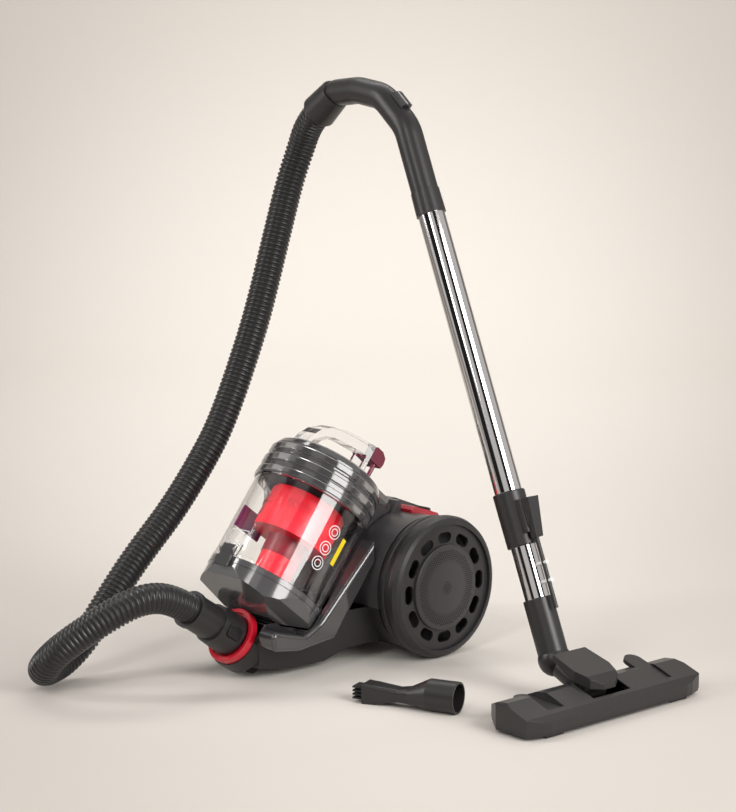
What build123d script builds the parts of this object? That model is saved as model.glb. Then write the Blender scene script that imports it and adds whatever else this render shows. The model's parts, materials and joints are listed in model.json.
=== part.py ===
from build123d import *
import os
from math import sin, cos, tan, radians

# A canister vacuum cleaner: a wheeled body with a see-through dust bin, a corrugated hose that
# runs to a bent handle, a telescopic wand, a floor head and a small brush tool. Millimetres.
# The origin is on the floor under the middle of everything but the hose; +Z is up. The body's
# hose inlet looks along -Y, the floor head's front edge looks along +X.

os.makedirs("parts", exist_ok=True)

# ---- driving dimensions ------------------------------------------------------------------
body_x = -171.5          # the point on the floor midway between the big wheels
body_y = 122.5
wall = 3.0               # moulded shells
seam_gap = 0.4           # between neighbouring shells
running_gap = 0.05       # radial, a shaft in its bore

wheel_radius = 95.0
wheel_mid = 114.0        # the widest circle of a big wheel, from the middle of the body
axle_radius = 6.0

drum_radius = 90.0
drum_half_width = 86.0
drum_split = 74.0        # height of the seam between the lower and the upper shell

bin_tilt = 39.0          # the bin leans back from the vertical
bin_radius = 79.0
bin_wall = 2.4
bin_length = 127.0       # from the lid's rim down to the flap's collar
bin_rim_y = -128.8       # the middle of the lid's rim
bin_rim_z = 210.2
lid_height = 56.0
lid_radius = 81.6
collar_height = 8.0
hopper_depth = 35.0
hopper_ridge = 43.0      # half the length of the hopper's lowest edge
snout_reach = 105.0      # from the bin's axis to the outlet face
snout_half_width = 31.0

base_bottom = 8.0
inlet_tilt = 34.0        # the hose inlet points this far above the level
inlet_y = -266.0
inlet_z = 55.0
inlet_ring_radius = 37.0
inlet_ring_depth = 10.0
cuff_radius = 28.5
cuff_spigot_radius = 20.5

hose_radius = 19.5
hose_bore = 16.0

head_turn = 3.35         # the floor head and the wand are turned this far about Z
head_x = 463.5           # the middle of the head's front edge, from the body's point
head_y = -50.7
head_length = 307.0
head_depth = 95.0
wand_lean = 22.9
elbow_x = -112.0         # the ball of the elbow, behind the head's front edge
elbow_z = 50.0
lower_tube_radius = 16.0
upper_tube_radius = 17.5
tube_wall = 0.9
sleeve_length = 78.0
telescope_foot = 145.0   # the telescope's collar, measured from the ball along the wand
telescope_length = 70.0
handle_foot = 588.5
grip_radius = 17.8

tool_x = 183.0           # the brush tool on the floor beside the wheel
tool_y = -223.0
tool_turn = 20.0
tool_length = 138.0


# ---- planes ------------------------------------------------------------------------------
def body_side(x=0.0):
    """A plane across the body at x: its own x runs along Y and its own y runs up."""
    return Plane(origin=(body_x + x, body_y, 0), x_dir=(0, 1, 0), z_dir=(1, 0, 0))


def body_top(z=0.0):
    """A level plane over the body's point on the floor."""
    return Plane(origin=(body_x, body_y, z))


def wheel_plane(side):
    """Sideways outwards by upwards, at the big wheels' axle, for side +1 or -1."""
    return Plane(origin=(body_x, body_y, wheel_radius), x_dir=(side, 0, 0), z_dir=(0, -side, 0))


def wheel_face(side, x):
    """A plane square to the axle, x outwards from the middle."""
    return Plane(origin=(body_x + side * x, body_y, wheel_radius), x_dir=(0, side, 0),
                 z_dir=(side, 0, 0))


wheel_axis = Axis((body_x, body_y, wheel_radius), (1, 0, 0))
bin_axis_dir = Vector(0, sin(radians(bin_tilt)), cos(radians(bin_tilt)))
bin_back_dir = Vector(0, cos(radians(bin_tilt)), -sin(radians(bin_tilt)))
bin_centre = Vector(body_x, body_y + bin_rim_y, bin_rim_z)
bin_frame = Plane(origin=bin_centre, x_dir=(1, 0, 0), z_dir=bin_axis_dir)
bin_axis = Axis(bin_centre, bin_axis_dir)


def bin_side(x=0.0):
    """Across the bin at x: backwards from its axis by along its axis."""
    return Plane(origin=bin_centre + Vector(x, 0, 0), x_dir=bin_back_dir, z_dir=(1, 0, 0))


def bin_back(distance):
    """Square to the bin's back direction: sideways by along the axis."""
    return Plane(origin=bin_centre + bin_back_dir * distance, x_dir=(-1, 0, 0),
                 z_dir=bin_back_dir)


inlet_dir = Vector(0, -cos(radians(inlet_tilt)), sin(radians(inlet_tilt)))
inlet_centre = Vector(body_x, body_y + inlet_y, inlet_z)
inlet_frame = Plane(origin=inlet_centre, x_dir=(1, 0, 0), z_dir=inlet_dir)
inlet_axis = Axis(inlet_centre, inlet_dir)

turn = radians(head_turn)
head_forward = Vector(cos(turn), -sin(turn), 0)
head_left = Vector(sin(turn), cos(turn), 0)
head_origin = Vector(body_x + head_x, body_y + head_y, 0)


def head_top(z=0.0):
    """Level, over the middle of the head's front edge: forwards by sideways."""
    return Plane(origin=head_origin + Vector(0, 0, z), x_dir=head_forward, z_dir=(0, 0, 1))


def head_side(offset=0.0):
    """The wand's upright plane: forwards by upwards; extruding goes to the head's right."""
    return Plane(origin=head_origin + head_left * offset, x_dir=head_forward,
                 z_dir=head_forward.cross(Vector(0, 0, 1)))


def head_point(x, z, y=0.0):
    return head_origin + head_forward * x + head_left * y + Vector(0, 0, z)


lean = radians(wand_lean)
wand_dir = head_forward * -sin(lean) + Vector(0, 0, cos(lean))
wand_front = head_forward * cos(lean) + Vector(0, 0, sin(lean))
elbow_centre = head_point(elbow_x, elbow_z)
wand_frame = Plane(origin=elbow_centre, x_dir=wand_front, z_dir=wand_dir)
wand_axis = Axis(elbow_centre, wand_dir)


def tube(frame, start, end, outer, inner):
    """A straight tube or bar about the frame's own z."""
    with BuildPart() as pipe:
        with BuildSketch(frame.offset(start)):
            Circle(outer)
            if inner:
                Circle(inner, mode=Mode.SUBTRACT)
        extrude(amount=end - start)
    return pipe.part


def save(builder, name):
    """Label a finished piece and write it to its own file."""
    builder.part.label = name
    export_step(builder.part, "parts/" + name + ".step")


# ---- shapes that more than one piece fits -------------------------------------------------
flap_foot = -bin_length - collar_height
hopper_long = [(-bin_radius - 1, 0), (-bin_radius + 7, -17), (-8, -hopper_depth),
               (10, -hopper_depth), (bin_radius - 7, -6), (bin_radius + 1, 0)]
hopper_cross = [(-bin_radius - 1, 0), (-bin_radius + 7, -17), (-hopper_ridge, -hopper_depth),
                (hopper_ridge, -hopper_depth), (bin_radius - 7, -17), (bin_radius + 1, 0)]


def hopper(inset):
    """The flap's faceted bowl below its collar, shrunk by inset."""
    reach = bin_radius + 20
    top = [(bin_radius + 1, 30), (-bin_radius - 1, 30)]
    with BuildPart() as bowl:
        with BuildSketch(bin_frame.offset(flap_foot)):
            Circle(bin_radius - inset)
        extrude(amount=-hopper_depth - 5)
        with BuildSketch(bin_side(-reach)):
            with BuildLine():
                Polyline(*[(p, flap_foot + s) for p, s in hopper_long + top], close=True)
            make_face()
            offset(amount=-inset)
        extrude(amount=2 * reach, mode=Mode.INTERSECT)
        with BuildSketch(bin_back(reach)):
            with BuildLine():
                Polyline(*[(x, flap_foot + s) for x, s in hopper_cross + top], close=True)
            make_face()
            offset(amount=-inset)
        extrude(amount=-2 * reach, mode=Mode.INTERSECT)
    return bowl.part


def bin_room(gap):
    """The space that the docked bin fills, with a gap all round."""
    bowl = hopper(-gap - 1.5)
    with BuildPart() as room:
        with BuildSketch(bin_frame.offset(flap_foot - 0.5)):
            Circle(lid_radius + gap)
        extrude(amount=bin_length + collar_height + 60)
        add(bowl)
    return room.part


duct_inner = 50.0
duct_outer = 77.0
duct_lower = [(-262, 47), (-217, 40), (-156, 46), (-110, 102), (-84, 134)]
duct_upper = [(-84, 162), (-109, 138), (-182, 70), (-208, 58), (-266, 74)]


def duct_band(side, inset):
    """The side view of a smoky duct, a band that turns up beside the bin."""
    inner = duct_inner + inset
    outer = duct_outer - inset
    with BuildPart() as band:
        with BuildSketch(body_side(inner if side > 0 else -outer)) as view:
            with BuildLine():
                Polyline(*duct_lower, *duct_upper, close=True)
            make_face()
            fillet(view.vertices().group_by(Axis.Y)[1:-1], 8)
            offset(amount=-inset)
        extrude(amount=outer - inner)
        if not inset:
            outer_face = band.faces().sort_by(Axis.X)[-1 if side > 0 else 0]
            fillet(outer_face.edges(), 5)
    return band.part


def drum(radius, half_width):
    with BuildPart() as round_body:
        with BuildSketch(body_side(-half_width)):
            with Locations((0, wheel_radius)):
                Circle(radius)
        extrude(amount=2 * half_width)
    return round_body.part


def slab(z_low, z_high):
    """Everything in the body between two heights."""
    with BuildPart() as layer:
        with BuildSketch(body_top(z_low)):
            Rectangle(700, 700)
        extrude(amount=z_high - z_low)
    return layer.part


# ---- the body ------------------------------------------------------------------------------
hull_low = [(36, -250), (48, -150), (60, -30)]
hull_high = [(46, -268), (66, -150), (82, -30)]
hull_side = [(-310, 60), (-297, 30), (-280, 19), (-264, 17), (-203, base_bottom),
             (-150, base_bottom + 1), (-114, 21), (-30, 24), (-30, 110), (-190, 110),
             (-242, 78)]
caster_y = -226.0
caster_trail = 8.0
caster_radius = 11.0
well_radius = 24.0
well_top = 27.5
swivel_radius = 4.0
collar_radius = 39.0
socket_depth = 24.0


def hull(inset):
    """The boat in front of the drum, shrunk by inset."""
    low = [(x - inset, y + inset) for x, y in hull_low]
    high = [(x - inset, y + inset) for x, y in hull_high]
    with BuildPart() as boat:
        for height, rim in ((base_bottom, low), (110, high)):
            mirrored = [(-x, y) for x, y in reversed(rim)]
            with BuildSketch(body_top(height)):
                with BuildLine():
                    Polyline(*rim, *mirrored, close=True)
                make_face()
        loft(ruled=True)
        with BuildSketch(body_side(-200)):
            with BuildLine():
                Polyline(*hull_side, close=True)
            make_face()
            offset(amount=-inset)
        extrude(amount=400, mode=Mode.INTERSECT)
    return boat.part


def make_base_tray():
    ducts = [duct_band(1, 0), duct_band(-1, 0)]
    pocket = bin_room(1.0)
    pocket_wall = bin_room(1.0 + wall)
    outer = hull(0)
    inner = hull(wall)
    lower_half = slab(0, drum_split)
    above = slab(drum_split, 200)
    collar = tube(inlet_frame, -28, -inlet_ring_depth / 2, collar_radius, 0)
    collar_room = tube(inlet_frame, -28, -inlet_ring_depth / 2 - wall, collar_radius - wall, 0)
    socket = tube(inlet_frame, -socket_depth - wall, -inlet_ring_depth / 2, cuff_spigot_radius + wall, 0)
    ahead = tube(inlet_frame, -inlet_ring_depth / 2, 80, 70, 0)
    with BuildPart() as room:
        add(inner)
        add(collar_room)
        add(pocket_wall, mode=Mode.SUBTRACT)
        for side in ducts:
            add(side, mode=Mode.SUBTRACT)
        add(socket, mode=Mode.SUBTRACT)
        with BuildSketch(body_top(0)):
            with Locations((0, caster_y)):
                Circle(well_radius + wall)
        extrude(amount=well_top + wall, mode=Mode.SUBTRACT)
        with BuildSketch(body_top(0)):
            with Locations((0, caster_y)):
                Circle(swivel_radius + wall)
        extrude(amount=50, mode=Mode.SUBTRACT)
    drum_room = drum(drum_radius - wall, drum_half_width - wall)
    drum_solid = drum(drum_radius, drum_half_width)
    with BuildPart() as tray:
        add(outer)
        add(collar)
        add(drum_solid)
        add(above, mode=Mode.SUBTRACT)
        add(lower_half, mode=Mode.INTERSECT)
        add(drum_room, mode=Mode.SUBTRACT)
        add(room.part, mode=Mode.SUBTRACT)
        add(pocket, mode=Mode.SUBTRACT)
        for side in ducts:
            add(side, mode=Mode.SUBTRACT)
        add(ahead, mode=Mode.SUBTRACT)
        with BuildSketch(body_top(0)):
            with Locations((0, caster_y)):
                Circle(well_radius)
        extrude(amount=well_top, mode=Mode.SUBTRACT)
        with BuildSketch(body_top(0)):
            with Locations((0, caster_y)):
                Circle(swivel_radius + running_gap)
        extrude(amount=47, mode=Mode.SUBTRACT)
        with BuildSketch(inlet_frame.offset(-socket_depth)):
            Circle(cuff_spigot_radius + running_gap)
        extrude(amount=socket_depth + 20, mode=Mode.SUBTRACT)
        with BuildSketch(Plane(origin=(body_x - 40, body_y, 50), x_dir=(1, 0, 0), z_dir=(0, 1, 0))):
            Circle(gland_radius)
        extrude(amount=100, mode=Mode.SUBTRACT)
    return tray


boss_half_width = 36.0
boss_side = [(-41.8, 150), (-1.5, 199.7), (12, 200), (62, 181), (70, 150), (20, 120)]
outlet_width = 34.0
outlet_height = 13.0
outlet_mid = 58.0        # the outlet's middle above the lid's rim, along the bin's axis
pedal_x = 37.0
pedal_width = 38.0
pedal_front = 5.0
pedal_back = 59.0
pedal_floor = 152.0
gland_radius = 8.0


def pedal_block(side, grow, z_low, z_high):
    """An upright block round one pedal's place, grown by grow."""
    with BuildPart() as block:
        with BuildSketch(body_top(z_low)):
            with Locations((side * pedal_x, (pedal_front + pedal_back) / 2)):
                Rectangle(pedal_width + 2 * grow, pedal_back - pedal_front + 2 * grow)
        extrude(amount=z_high - z_low)
    return block.part


def boss(inset):
    """The raised block on top of the drum that faces the bin's outlet."""
    with BuildPart() as block:
        with BuildSketch(body_side(-boss_half_width + inset)):
            with BuildLine():
                Polyline(*boss_side, close=True)
            make_face()
            offset(amount=-inset)
        extrude(amount=2 * (boss_half_width - inset))
        if not inset:
            fillet(block.edges().filter_by(Axis.X).group_by(Axis.Z)[-1], 4)
    return block.part


def make_drum_housing():
    upper = slab(drum_split + seam_gap, 400)
    shell = drum(drum_radius, drum_half_width)
    room = drum(drum_radius - wall, drum_half_width - wall)
    block = boss(0)
    block_room = boss(wall)
    wells = [pedal_block(side, seam_gap + 2, pedal_floor - 2, 176) for side in (1, -1)]
    holes = [pedal_block(side, seam_gap, pedal_floor, 260) for side in (1, -1)]
    with BuildPart() as walls:
        for well in wells:
            add(well)
        add(shell, mode=Mode.INTERSECT)
    with BuildPart() as boss_walls:
        for side in (1, -1):
            add(pedal_block(side, seam_gap + 2, 150, 260))
        add(block, mode=Mode.INTERSECT)
    with BuildPart() as housing:
        add(shell)
        add(block)
        add(room, mode=Mode.SUBTRACT)
        add(block_room, mode=Mode.SUBTRACT)
        add(walls.part)
        add(boss_walls.part)
        for hole in holes:
            add(hole, mode=Mode.SUBTRACT)
        with BuildSketch(bin_back(snout_reach - 20)):
            with Locations((0, outlet_mid)):
                RectangleRounded(outlet_width, outlet_height, 4)
        extrude(amount=40, mode=Mode.SUBTRACT)
        with BuildSketch(bin_back(snout_reach)):
            with Locations((0, outlet_mid)):
                RectangleRounded(outlet_width + 8, outlet_height + 7, 6)
        extrude(amount=2.4, mode=Mode.SUBTRACT)
        for side in (1, -1):
            with BuildSketch(wheel_face(side, drum_half_width - 12)):
                Circle(axle_radius + 8)
            extrude(amount=12)
            with BuildSketch(wheel_face(side, drum_half_width - 12)):
                Circle(axle_radius)
            extrude(amount=20, mode=Mode.SUBTRACT)
        add(upper, mode=Mode.INTERSECT)
    return housing


def make_outlet_gasket():
    with BuildPart() as gasket:
        with BuildSketch(bin_back(snout_reach + 0.8)):
            with Locations((0, outlet_mid)):
                RectangleRounded(outlet_width + 8, outlet_height + 7, 6)
                RectangleRounded(outlet_width, outlet_height, 4, mode=Mode.SUBTRACT)
        extrude(amount=1.6)
    return gasket


def make_duct(side):
    outer = duct_band(side, 0)
    inner = duct_band(side, 2.5)
    pocket = bin_room(1.0)
    pocket_wall = bin_room(3.5)
    barrel = drum(drum_radius + seam_gap, drum_half_width + 0.5)
    with BuildPart() as room:
        add(inner)
        add(pocket_wall, mode=Mode.SUBTRACT)
    with BuildPart() as duct:
        add(outer)
        add(pocket, mode=Mode.SUBTRACT)
        add(barrel, mode=Mode.SUBTRACT)
        add(room.part, mode=Mode.SUBTRACT)
    largest = duct.part.solids().sort_by(SortBy.VOLUME)[-1]
    with BuildPart() as kept:
        add(largest)
    return kept


def make_inlet_ring():
    half = inlet_ring_depth / 2
    pocket = bin_room(1.0)
    bore = cuff_spigot_radius + running_gap + 0.3
    with BuildPart() as ring:
        with BuildSketch(inlet_frame.offset(-half)):
            Circle(inlet_ring_radius)
            Circle(bore, mode=Mode.SUBTRACT)
        extrude(amount=inlet_ring_depth)
        chamfer(ring.edges().filter_by(GeomType.CIRCLE).sort_by(inlet_axis)[-2:], 1.6)
        with BuildSketch(inlet_frame.offset(half - 4)):
            Circle(inlet_ring_radius - 6)
        extrude(amount=10, mode=Mode.SUBTRACT)
        add(pocket, mode=Mode.SUBTRACT)
    return ring


def make_axle(side):
    with BuildPart() as axle:
        with BuildSketch(wheel_face(side, drum_half_width - 11)):
            Circle(axle_radius)
        extrude(amount=wheel_mid + 10 - drum_half_width + 11)
        with BuildSketch(wheel_face(side, drum_half_width)):
            Circle(axle_radius + 4)
        extrude(amount=2)
        with BuildSketch(wheel_face(side, wheel_mid + 8.4)):
            Circle(axle_radius + 3)
        extrude(amount=1.6)
    return axle


motor_radius = 42.0
motor_back = -42.0
motor_front = 48.0


def make_motor():
    frame = Plane(origin=(body_x, body_y, wheel_radius - 4), x_dir=(0, 1, 0), z_dir=(1, 0, 0))
    with BuildPart() as motor:
        with BuildSketch(frame.offset(motor_back)):
            Circle(motor_radius)
        extrude(amount=motor_front - motor_back)
        fillet(motor.edges(), 4)
        with BuildSketch(frame.offset(motor_front)):
            Circle(4)
        extrude(amount=20)
    return motor


def make_motor_mount():
    frame = Plane(origin=(body_x, body_y, wheel_radius - 4), x_dir=(0, 1, 0), z_dir=(1, 0, 0))
    inner_drum = drum(drum_radius - wall, drum_half_width)
    with BuildPart() as mount:
        for start in (motor_back - 4, 28):
            with BuildSketch(frame.offset(start)):
                Rectangle(104, 190)
            extrude(amount=4)
        with BuildSketch(body_top(0)):
            with Locations((-7, 0)):
                Rectangle(74, 40)
        extrude(amount=26)
        add(slab(0, 132), mode=Mode.INTERSECT)
        add(inner_drum, mode=Mode.INTERSECT)
        with BuildSketch(frame.offset(28)):
            Circle(motor_radius)
        extrude(amount=4, mode=Mode.SUBTRACT)
        with BuildSketch(frame.offset(motor_back - 4)):
            Circle(8)
        extrude(amount=-26)
    return mount


def make_impeller():
    frame = Plane(origin=(body_x, body_y, wheel_radius - 4), x_dir=(0, 1, 0), z_dir=(1, 0, 0))
    with BuildPart() as fan:
        with BuildSketch(frame.offset(motor_front + 3)):
            Circle(38)
        extrude(amount=2)
        with BuildSketch(frame.offset(motor_front + 3)):
            Circle(9)
        extrude(amount=13)
        with BuildSketch(frame.offset(motor_front + 5)):
            with PolarLocations(22, 9):
                Rectangle(27, 1.6, rotation=25)
        extrude(amount=9)
        with BuildSketch(frame.offset(motor_front + 3)):
            Circle(4 + running_gap)
        extrude(amount=14, mode=Mode.SUBTRACT)
    return fan


def make_cord_reel():
    frame = Plane(origin=(body_x, body_y, wheel_radius - 4), x_dir=(0, 1, 0), z_dir=(1, 0, 0))
    with BuildPart() as reel:
        for start in (-71, -54):
            with BuildSketch(frame.offset(start)):
                Circle(58)
            extrude(amount=2)
        with BuildSketch(frame.offset(-71)):
            Circle(30)
        extrude(amount=19)
        with BuildSketch(frame.offset(-71)):
            Circle(8 + running_gap)
        extrude(amount=19, mode=Mode.SUBTRACT)
    return reel


def make_exhaust_filter():
    with BuildPart() as pleats:
        with BuildSketch(wheel_face(1, 70)):
            Circle(drum_radius - wall - 8)
            Circle(axle_radius + 9, mode=Mode.SUBTRACT)
        extrude(amount=drum_half_width - wall - 70)
        with BuildSketch(wheel_face(1, 70)):
            with GridLocations(9, 0, 15, 1):
                Rectangle(3, 150)
            Circle(axle_radius + 12, mode=Mode.SUBTRACT)
        extrude(amount=6, mode=Mode.SUBTRACT)
    return pleats


def make_switch_module():
    with BuildPart() as switch:
        with BuildSketch(body_top(132)):
            with Locations((pedal_x - 2, 30)):
                Rectangle(26, 36)
        extrude(amount=16)
    return switch


def make_cord_gland():
    with BuildPart() as gland:
        with BuildSketch(Plane(origin=(body_x - 40, body_y + 70, 50), x_dir=(1, 0, 0),
                               z_dir=(0, 1, 0))):
            Circle(gland_radius)
        extrude(amount=14)
        fillet(gland.edges().sort_by(Axis.Y)[-1], 2)
        with BuildSketch(Plane(origin=(body_x - 40, body_y + 70, 50), x_dir=(1, 0, 0),
                               z_dir=(0, 1, 0))):
            Circle(3.8)
        extrude(amount=14, mode=Mode.SUBTRACT)
    return gland


def make_pedal(side):
    with BuildPart() as pedal:
        with BuildSketch(body_side(side * pedal_x - pedal_width / 2)):
            with BuildLine():
                Polyline((pedal_front, 159), (pedal_front, 189), (pedal_front + 8, 192.5),
                         (pedal_back - 3, 178), (pedal_back, 172), (pedal_back, 159), close=True)
            make_face()
        extrude(amount=pedal_width)
        fillet(pedal.edges().group_by(Axis.Z)[-1], 3)
    return pedal


# ---- the wheels ---------------------------------------------------------------------------
tyre_profile = [(91, 0), (91, 7), (92.5, 8.6), (98, 8.6), (99.5, 7), (102, 7), (104, 9.4),
                (110, 11), (118, 11), (123.5, 8.6), (126.5, 4), (126.5, 0)]
rim_radius = wheel_radius - 11.0


def make_tyre(side):
    with BuildPart() as tyre:
        with BuildSketch(wheel_plane(side)):
            with BuildLine():
                Polyline(*[(x, rim_radius + r) for x, r in tyre_profile], close=True)
            make_face()
        revolve(axis=wheel_axis)
    return tyre


def make_wheel(side):
    with BuildPart() as wheel:
        with BuildSketch(wheel_face(side, 118.5)):
            Circle(rim_radius)
        extrude(amount=3.5)
        with BuildSketch(wheel_face(side, 92)):
            Circle(rim_radius)
            Circle(rim_radius - 3.5, mode=Mode.SUBTRACT)
        extrude(amount=27)
        with BuildSketch(wheel_face(side, drum_half_width + 2.6)):
            Circle(axle_radius + 7)
        extrude(amount=118.5 - drum_half_width - 2.6)
        with BuildSketch(wheel_face(side, 118.5)):
            with PolarLocations(67, 12):
                SlotOverall(25, 14, rotation=90)
            with PolarLocations(36, 6):
                Circle(14)
        extrude(amount=4, mode=Mode.SUBTRACT)
        with BuildSketch(wheel_face(side, 80)):
            Circle(axle_radius + running_gap)
        extrude(amount=60, mode=Mode.SUBTRACT)
    return wheel


def make_grille(side):
    with BuildPart() as grille:
        with BuildSketch(wheel_plane(side)):
            with BuildLine():
                Polyline((122, 53), (122, 57.5), (124.5, 57.5), (125.5, 56), (125.5, 54),
                         (127.2, 20), (127.6, 0), (126, 0), (125.8, 20), (124, 53), close=True)
            make_face()
        revolve(axis=wheel_axis)
    return grille


def make_caster_fork():
    top = well_top - 1
    with BuildPart() as fork:
        with BuildSketch(body_top(top - 3)):
            with Locations((0, caster_y)):
                Circle(15)
        extrude(amount=3)
        with BuildSketch(body_top(top)):
            with Locations((0, caster_y)):
                Circle(swivel_radius)
        extrude(amount=20)
        with BuildSketch(body_side(-8)):
            with Locations((caster_y - caster_trail, caster_radius)):
                Circle(6)
            with BuildLine():
                Polyline((caster_y - 14, top - 3), (caster_y + 8, top - 3),
                         (caster_y - caster_trail + 6, caster_radius),
                         (caster_y - caster_trail - 6, caster_radius), close=True)
            make_face()
        extrude(amount=16)
        with BuildSketch(body_side(-5.4)):
            with Locations((caster_y - caster_trail, caster_radius)):
                Rectangle(60, 2 * caster_radius + 1.6)
        extrude(amount=10.8, mode=Mode.SUBTRACT)
        with BuildSketch(body_side(-20)):
            with Locations((caster_y - caster_trail, caster_radius)):
                Circle(2 + running_gap)
        extrude(amount=40, mode=Mode.SUBTRACT)
    return fork


def make_caster_wheel():
    with BuildPart() as wheel:
        with BuildSketch(body_side(-5)):
            with Locations((caster_y - caster_trail, caster_radius)):
                Circle(caster_radius)
        extrude(amount=10)
        fillet(wheel.edges(), 2)
        with BuildSketch(body_side(-8)):
            with Locations((caster_y - caster_trail, caster_radius)):
                Circle(2)
        extrude(amount=16)
    return wheel


# ---- the bin ------------------------------------------------------------------------------
bin_inner = bin_radius - bin_wall
hinge_p = 73.0           # the flap's hinge, behind the bin's axis and below the lid's rim
hinge_s = -131.6
hinge_radius = 3.6
hinge_pin_radius = 1.8
hinge_half = 18.0
catch_p = -84.6
catch_s = -121.0
port_s = -57.0


def bin_hinge(radius, x_low, x_high, p=hinge_p, s=hinge_s):
    """A round bar along X beside the bin."""
    with BuildPart() as bar:
        with BuildSketch(bin_side(x_low)):
            with Locations((p, s)):
                Circle(radius)
        extrude(amount=x_high - x_low)
    return bar.part


def make_bin_cylinder():
    with BuildPart() as cylinder:
        with BuildSketch(bin_frame.offset(-bin_length)):
            Circle(bin_radius)
            Circle(bin_inner, mode=Mode.SUBTRACT)
        extrude(amount=bin_length + 6)
        with BuildSketch(bin_frame.offset(-bin_length)):
            Circle(bin_radius + 1)
            Circle(bin_inner, mode=Mode.SUBTRACT)
        extrude(amount=5)
        for x_low in (hinge_half + 0.5, -hinge_half - 5.5):
            with BuildSketch(bin_side(x_low)):
                with Locations((hinge_p, hinge_s)):
                    Circle(hinge_radius)
                with Locations((hinge_p, hinge_s + 3)):
                    Rectangle(2 * hinge_radius, 7)
            extrude(amount=5)
            with BuildSketch(bin_side(x_low)):
                with Locations((hinge_p, hinge_s)):
                    Circle(hinge_pin_radius)
            extrude(amount=5, mode=Mode.SUBTRACT)
        for x_low in (-14, 11):
            with BuildSketch(bin_side(x_low)):
                with BuildLine():
                    Polyline((-bin_radius + 1.2, -108), (-bin_radius - 6, -112), (-bin_radius - 9, -121),
                             (-bin_radius - 6, -126.5), (-bin_radius + 1.2, -126.5), close=True)
                make_face()
            extrude(amount=3)
            with BuildSketch(bin_side(x_low)):
                with Locations((catch_p, catch_s)):
                    Circle(1.6 + running_gap)
            extrude(amount=3, mode=Mode.SUBTRACT)
        with BuildSketch(bin_side(-bin_radius - 5)):
            with Locations((-25, port_s)):
                RectangleRounded(40, 26, 6)
        extrude(amount=30, mode=Mode.SUBTRACT)
    keep = cylinder.part.solids().sort_by(SortBy.VOLUME)[-1]
    with BuildPart() as cleaned:
        add(keep)
    return cleaned


def make_flap_hinge_pin():
    bar = bin_hinge(hinge_pin_radius, -hinge_half - 5.5, hinge_half + 5.5)
    with BuildPart() as pin:
        add(bar)
    return pin


def make_bin_flap():
    outer = hopper(0)
    inner = hopper(bin_wall)
    barrel = bin_hinge(hinge_radius, -hinge_half, hinge_half)
    bore = bin_hinge(hinge_pin_radius + running_gap, -hinge_half - 1, hinge_half + 1)
    slots = [bin_hinge(hinge_radius + 1.2, x, x + 7, hinge_p, hinge_s)
             for x in (hinge_half - 0.5, -hinge_half - 6.5)]
    with BuildPart() as room:
        add(inner)
        with BuildSketch(bin_frame.offset(flap_foot - 3)):
            Circle(bin_inner - 1.5)
        extrude(amount=collar_height + 6)
        add(barrel, mode=Mode.SUBTRACT)
    with BuildPart() as flap:
        with BuildSketch(bin_frame.offset(flap_foot)):
            Circle(bin_radius + 1)
        extrude(amount=collar_height - seam_gap)
        add(outer)
        add(barrel)
        add(room.part, mode=Mode.SUBTRACT)
        add(bore, mode=Mode.SUBTRACT)
        for slot in slots:
            add(slot, mode=Mode.SUBTRACT)
        for x in (hinge_half - 0.5, -hinge_half - 6.5):
            with BuildSketch(bin_side(x)):
                with Locations((hinge_p, hinge_s + 6)):
                    Rectangle(2 * hinge_radius + 2.4, 12)
            extrude(amount=7, mode=Mode.SUBTRACT)
        for x, length in ((hinge_half, 36), (-hinge_half - 36, 36), (-hinge_half, 2 * hinge_half)):
            with BuildSketch(bin_side(x)):
                with Locations((hinge_p + 10, hinge_s + 6)):
                    Rectangle(20, 12)
                with Locations((hinge_p, hinge_s)):
                    Circle(hinge_radius, mode=Mode.SUBTRACT)
            extrude(amount=length, mode=Mode.SUBTRACT)
    keep = flap.part.solids().sort_by(SortBy.VOLUME)[-1]
    with BuildPart() as cleaned:
        add(keep)
    return cleaned


def make_flap_catch():
    with BuildPart() as catch:
        with BuildSketch(bin_side(-10.6)):
            with BuildLine():
                Polyline((-bin_radius - 3.4, -112), (-bin_radius - 7.4, -114),
                         (-bin_radius - 8.6, -121), (-bin_radius - 5.6, -134),
                         (-bin_radius - 5.0, -144), (-bin_radius - 2.4, -144),
                         (-bin_radius - 2.4, -124), close=True)
            make_face()
        extrude(amount=21.2)
        fillet(catch.edges().filter_by(Axis.X).sort_by(bin_axis)[:2], 1.0)
        with BuildSketch(bin_side(-14)):
            with Locations((catch_p, catch_s)):
                Circle(1.6)
        extrude(amount=28)
    return catch


def make_cyclone_shroud():
    with BuildPart() as shroud:
        with BuildSketch(bin_frame.offset(-62)):
            Circle(52)
            Circle(50, mode=Mode.SUBTRACT)
        extrude(amount=58)
        with BuildSketch(bin_frame.offset(-62)):
            Circle(52)
            Circle(28, mode=Mode.SUBTRACT)
        extrude(amount=2)
        for side in (35, -35, 145, -145):
            spot = Plane(origin=bin_centre, x_dir=bin_axis_dir,
                         z_dir=bin_back_dir * cos(radians(side)) + Vector(sin(radians(side)), 0, 0))
            with BuildSketch(spot.offset(30)):
                with Locations((-47, 0)):
                    RectangleRounded(20, 38, 5)
            extrude(amount=30, mode=Mode.SUBTRACT)
    return shroud


def make_cyclone_cup():
    with BuildPart() as cup:
        with BuildSketch(bin_frame.offset(-124)):
            Circle(24)
        with BuildSketch(bin_frame.offset(-60)):
            Circle(28)
        loft()
        with BuildSketch(bin_frame.offset(-122)):
            Circle(22)
        with BuildSketch(bin_frame.offset(-60)):
            Circle(26)
        loft(mode=Mode.SUBTRACT)
    return cup


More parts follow.
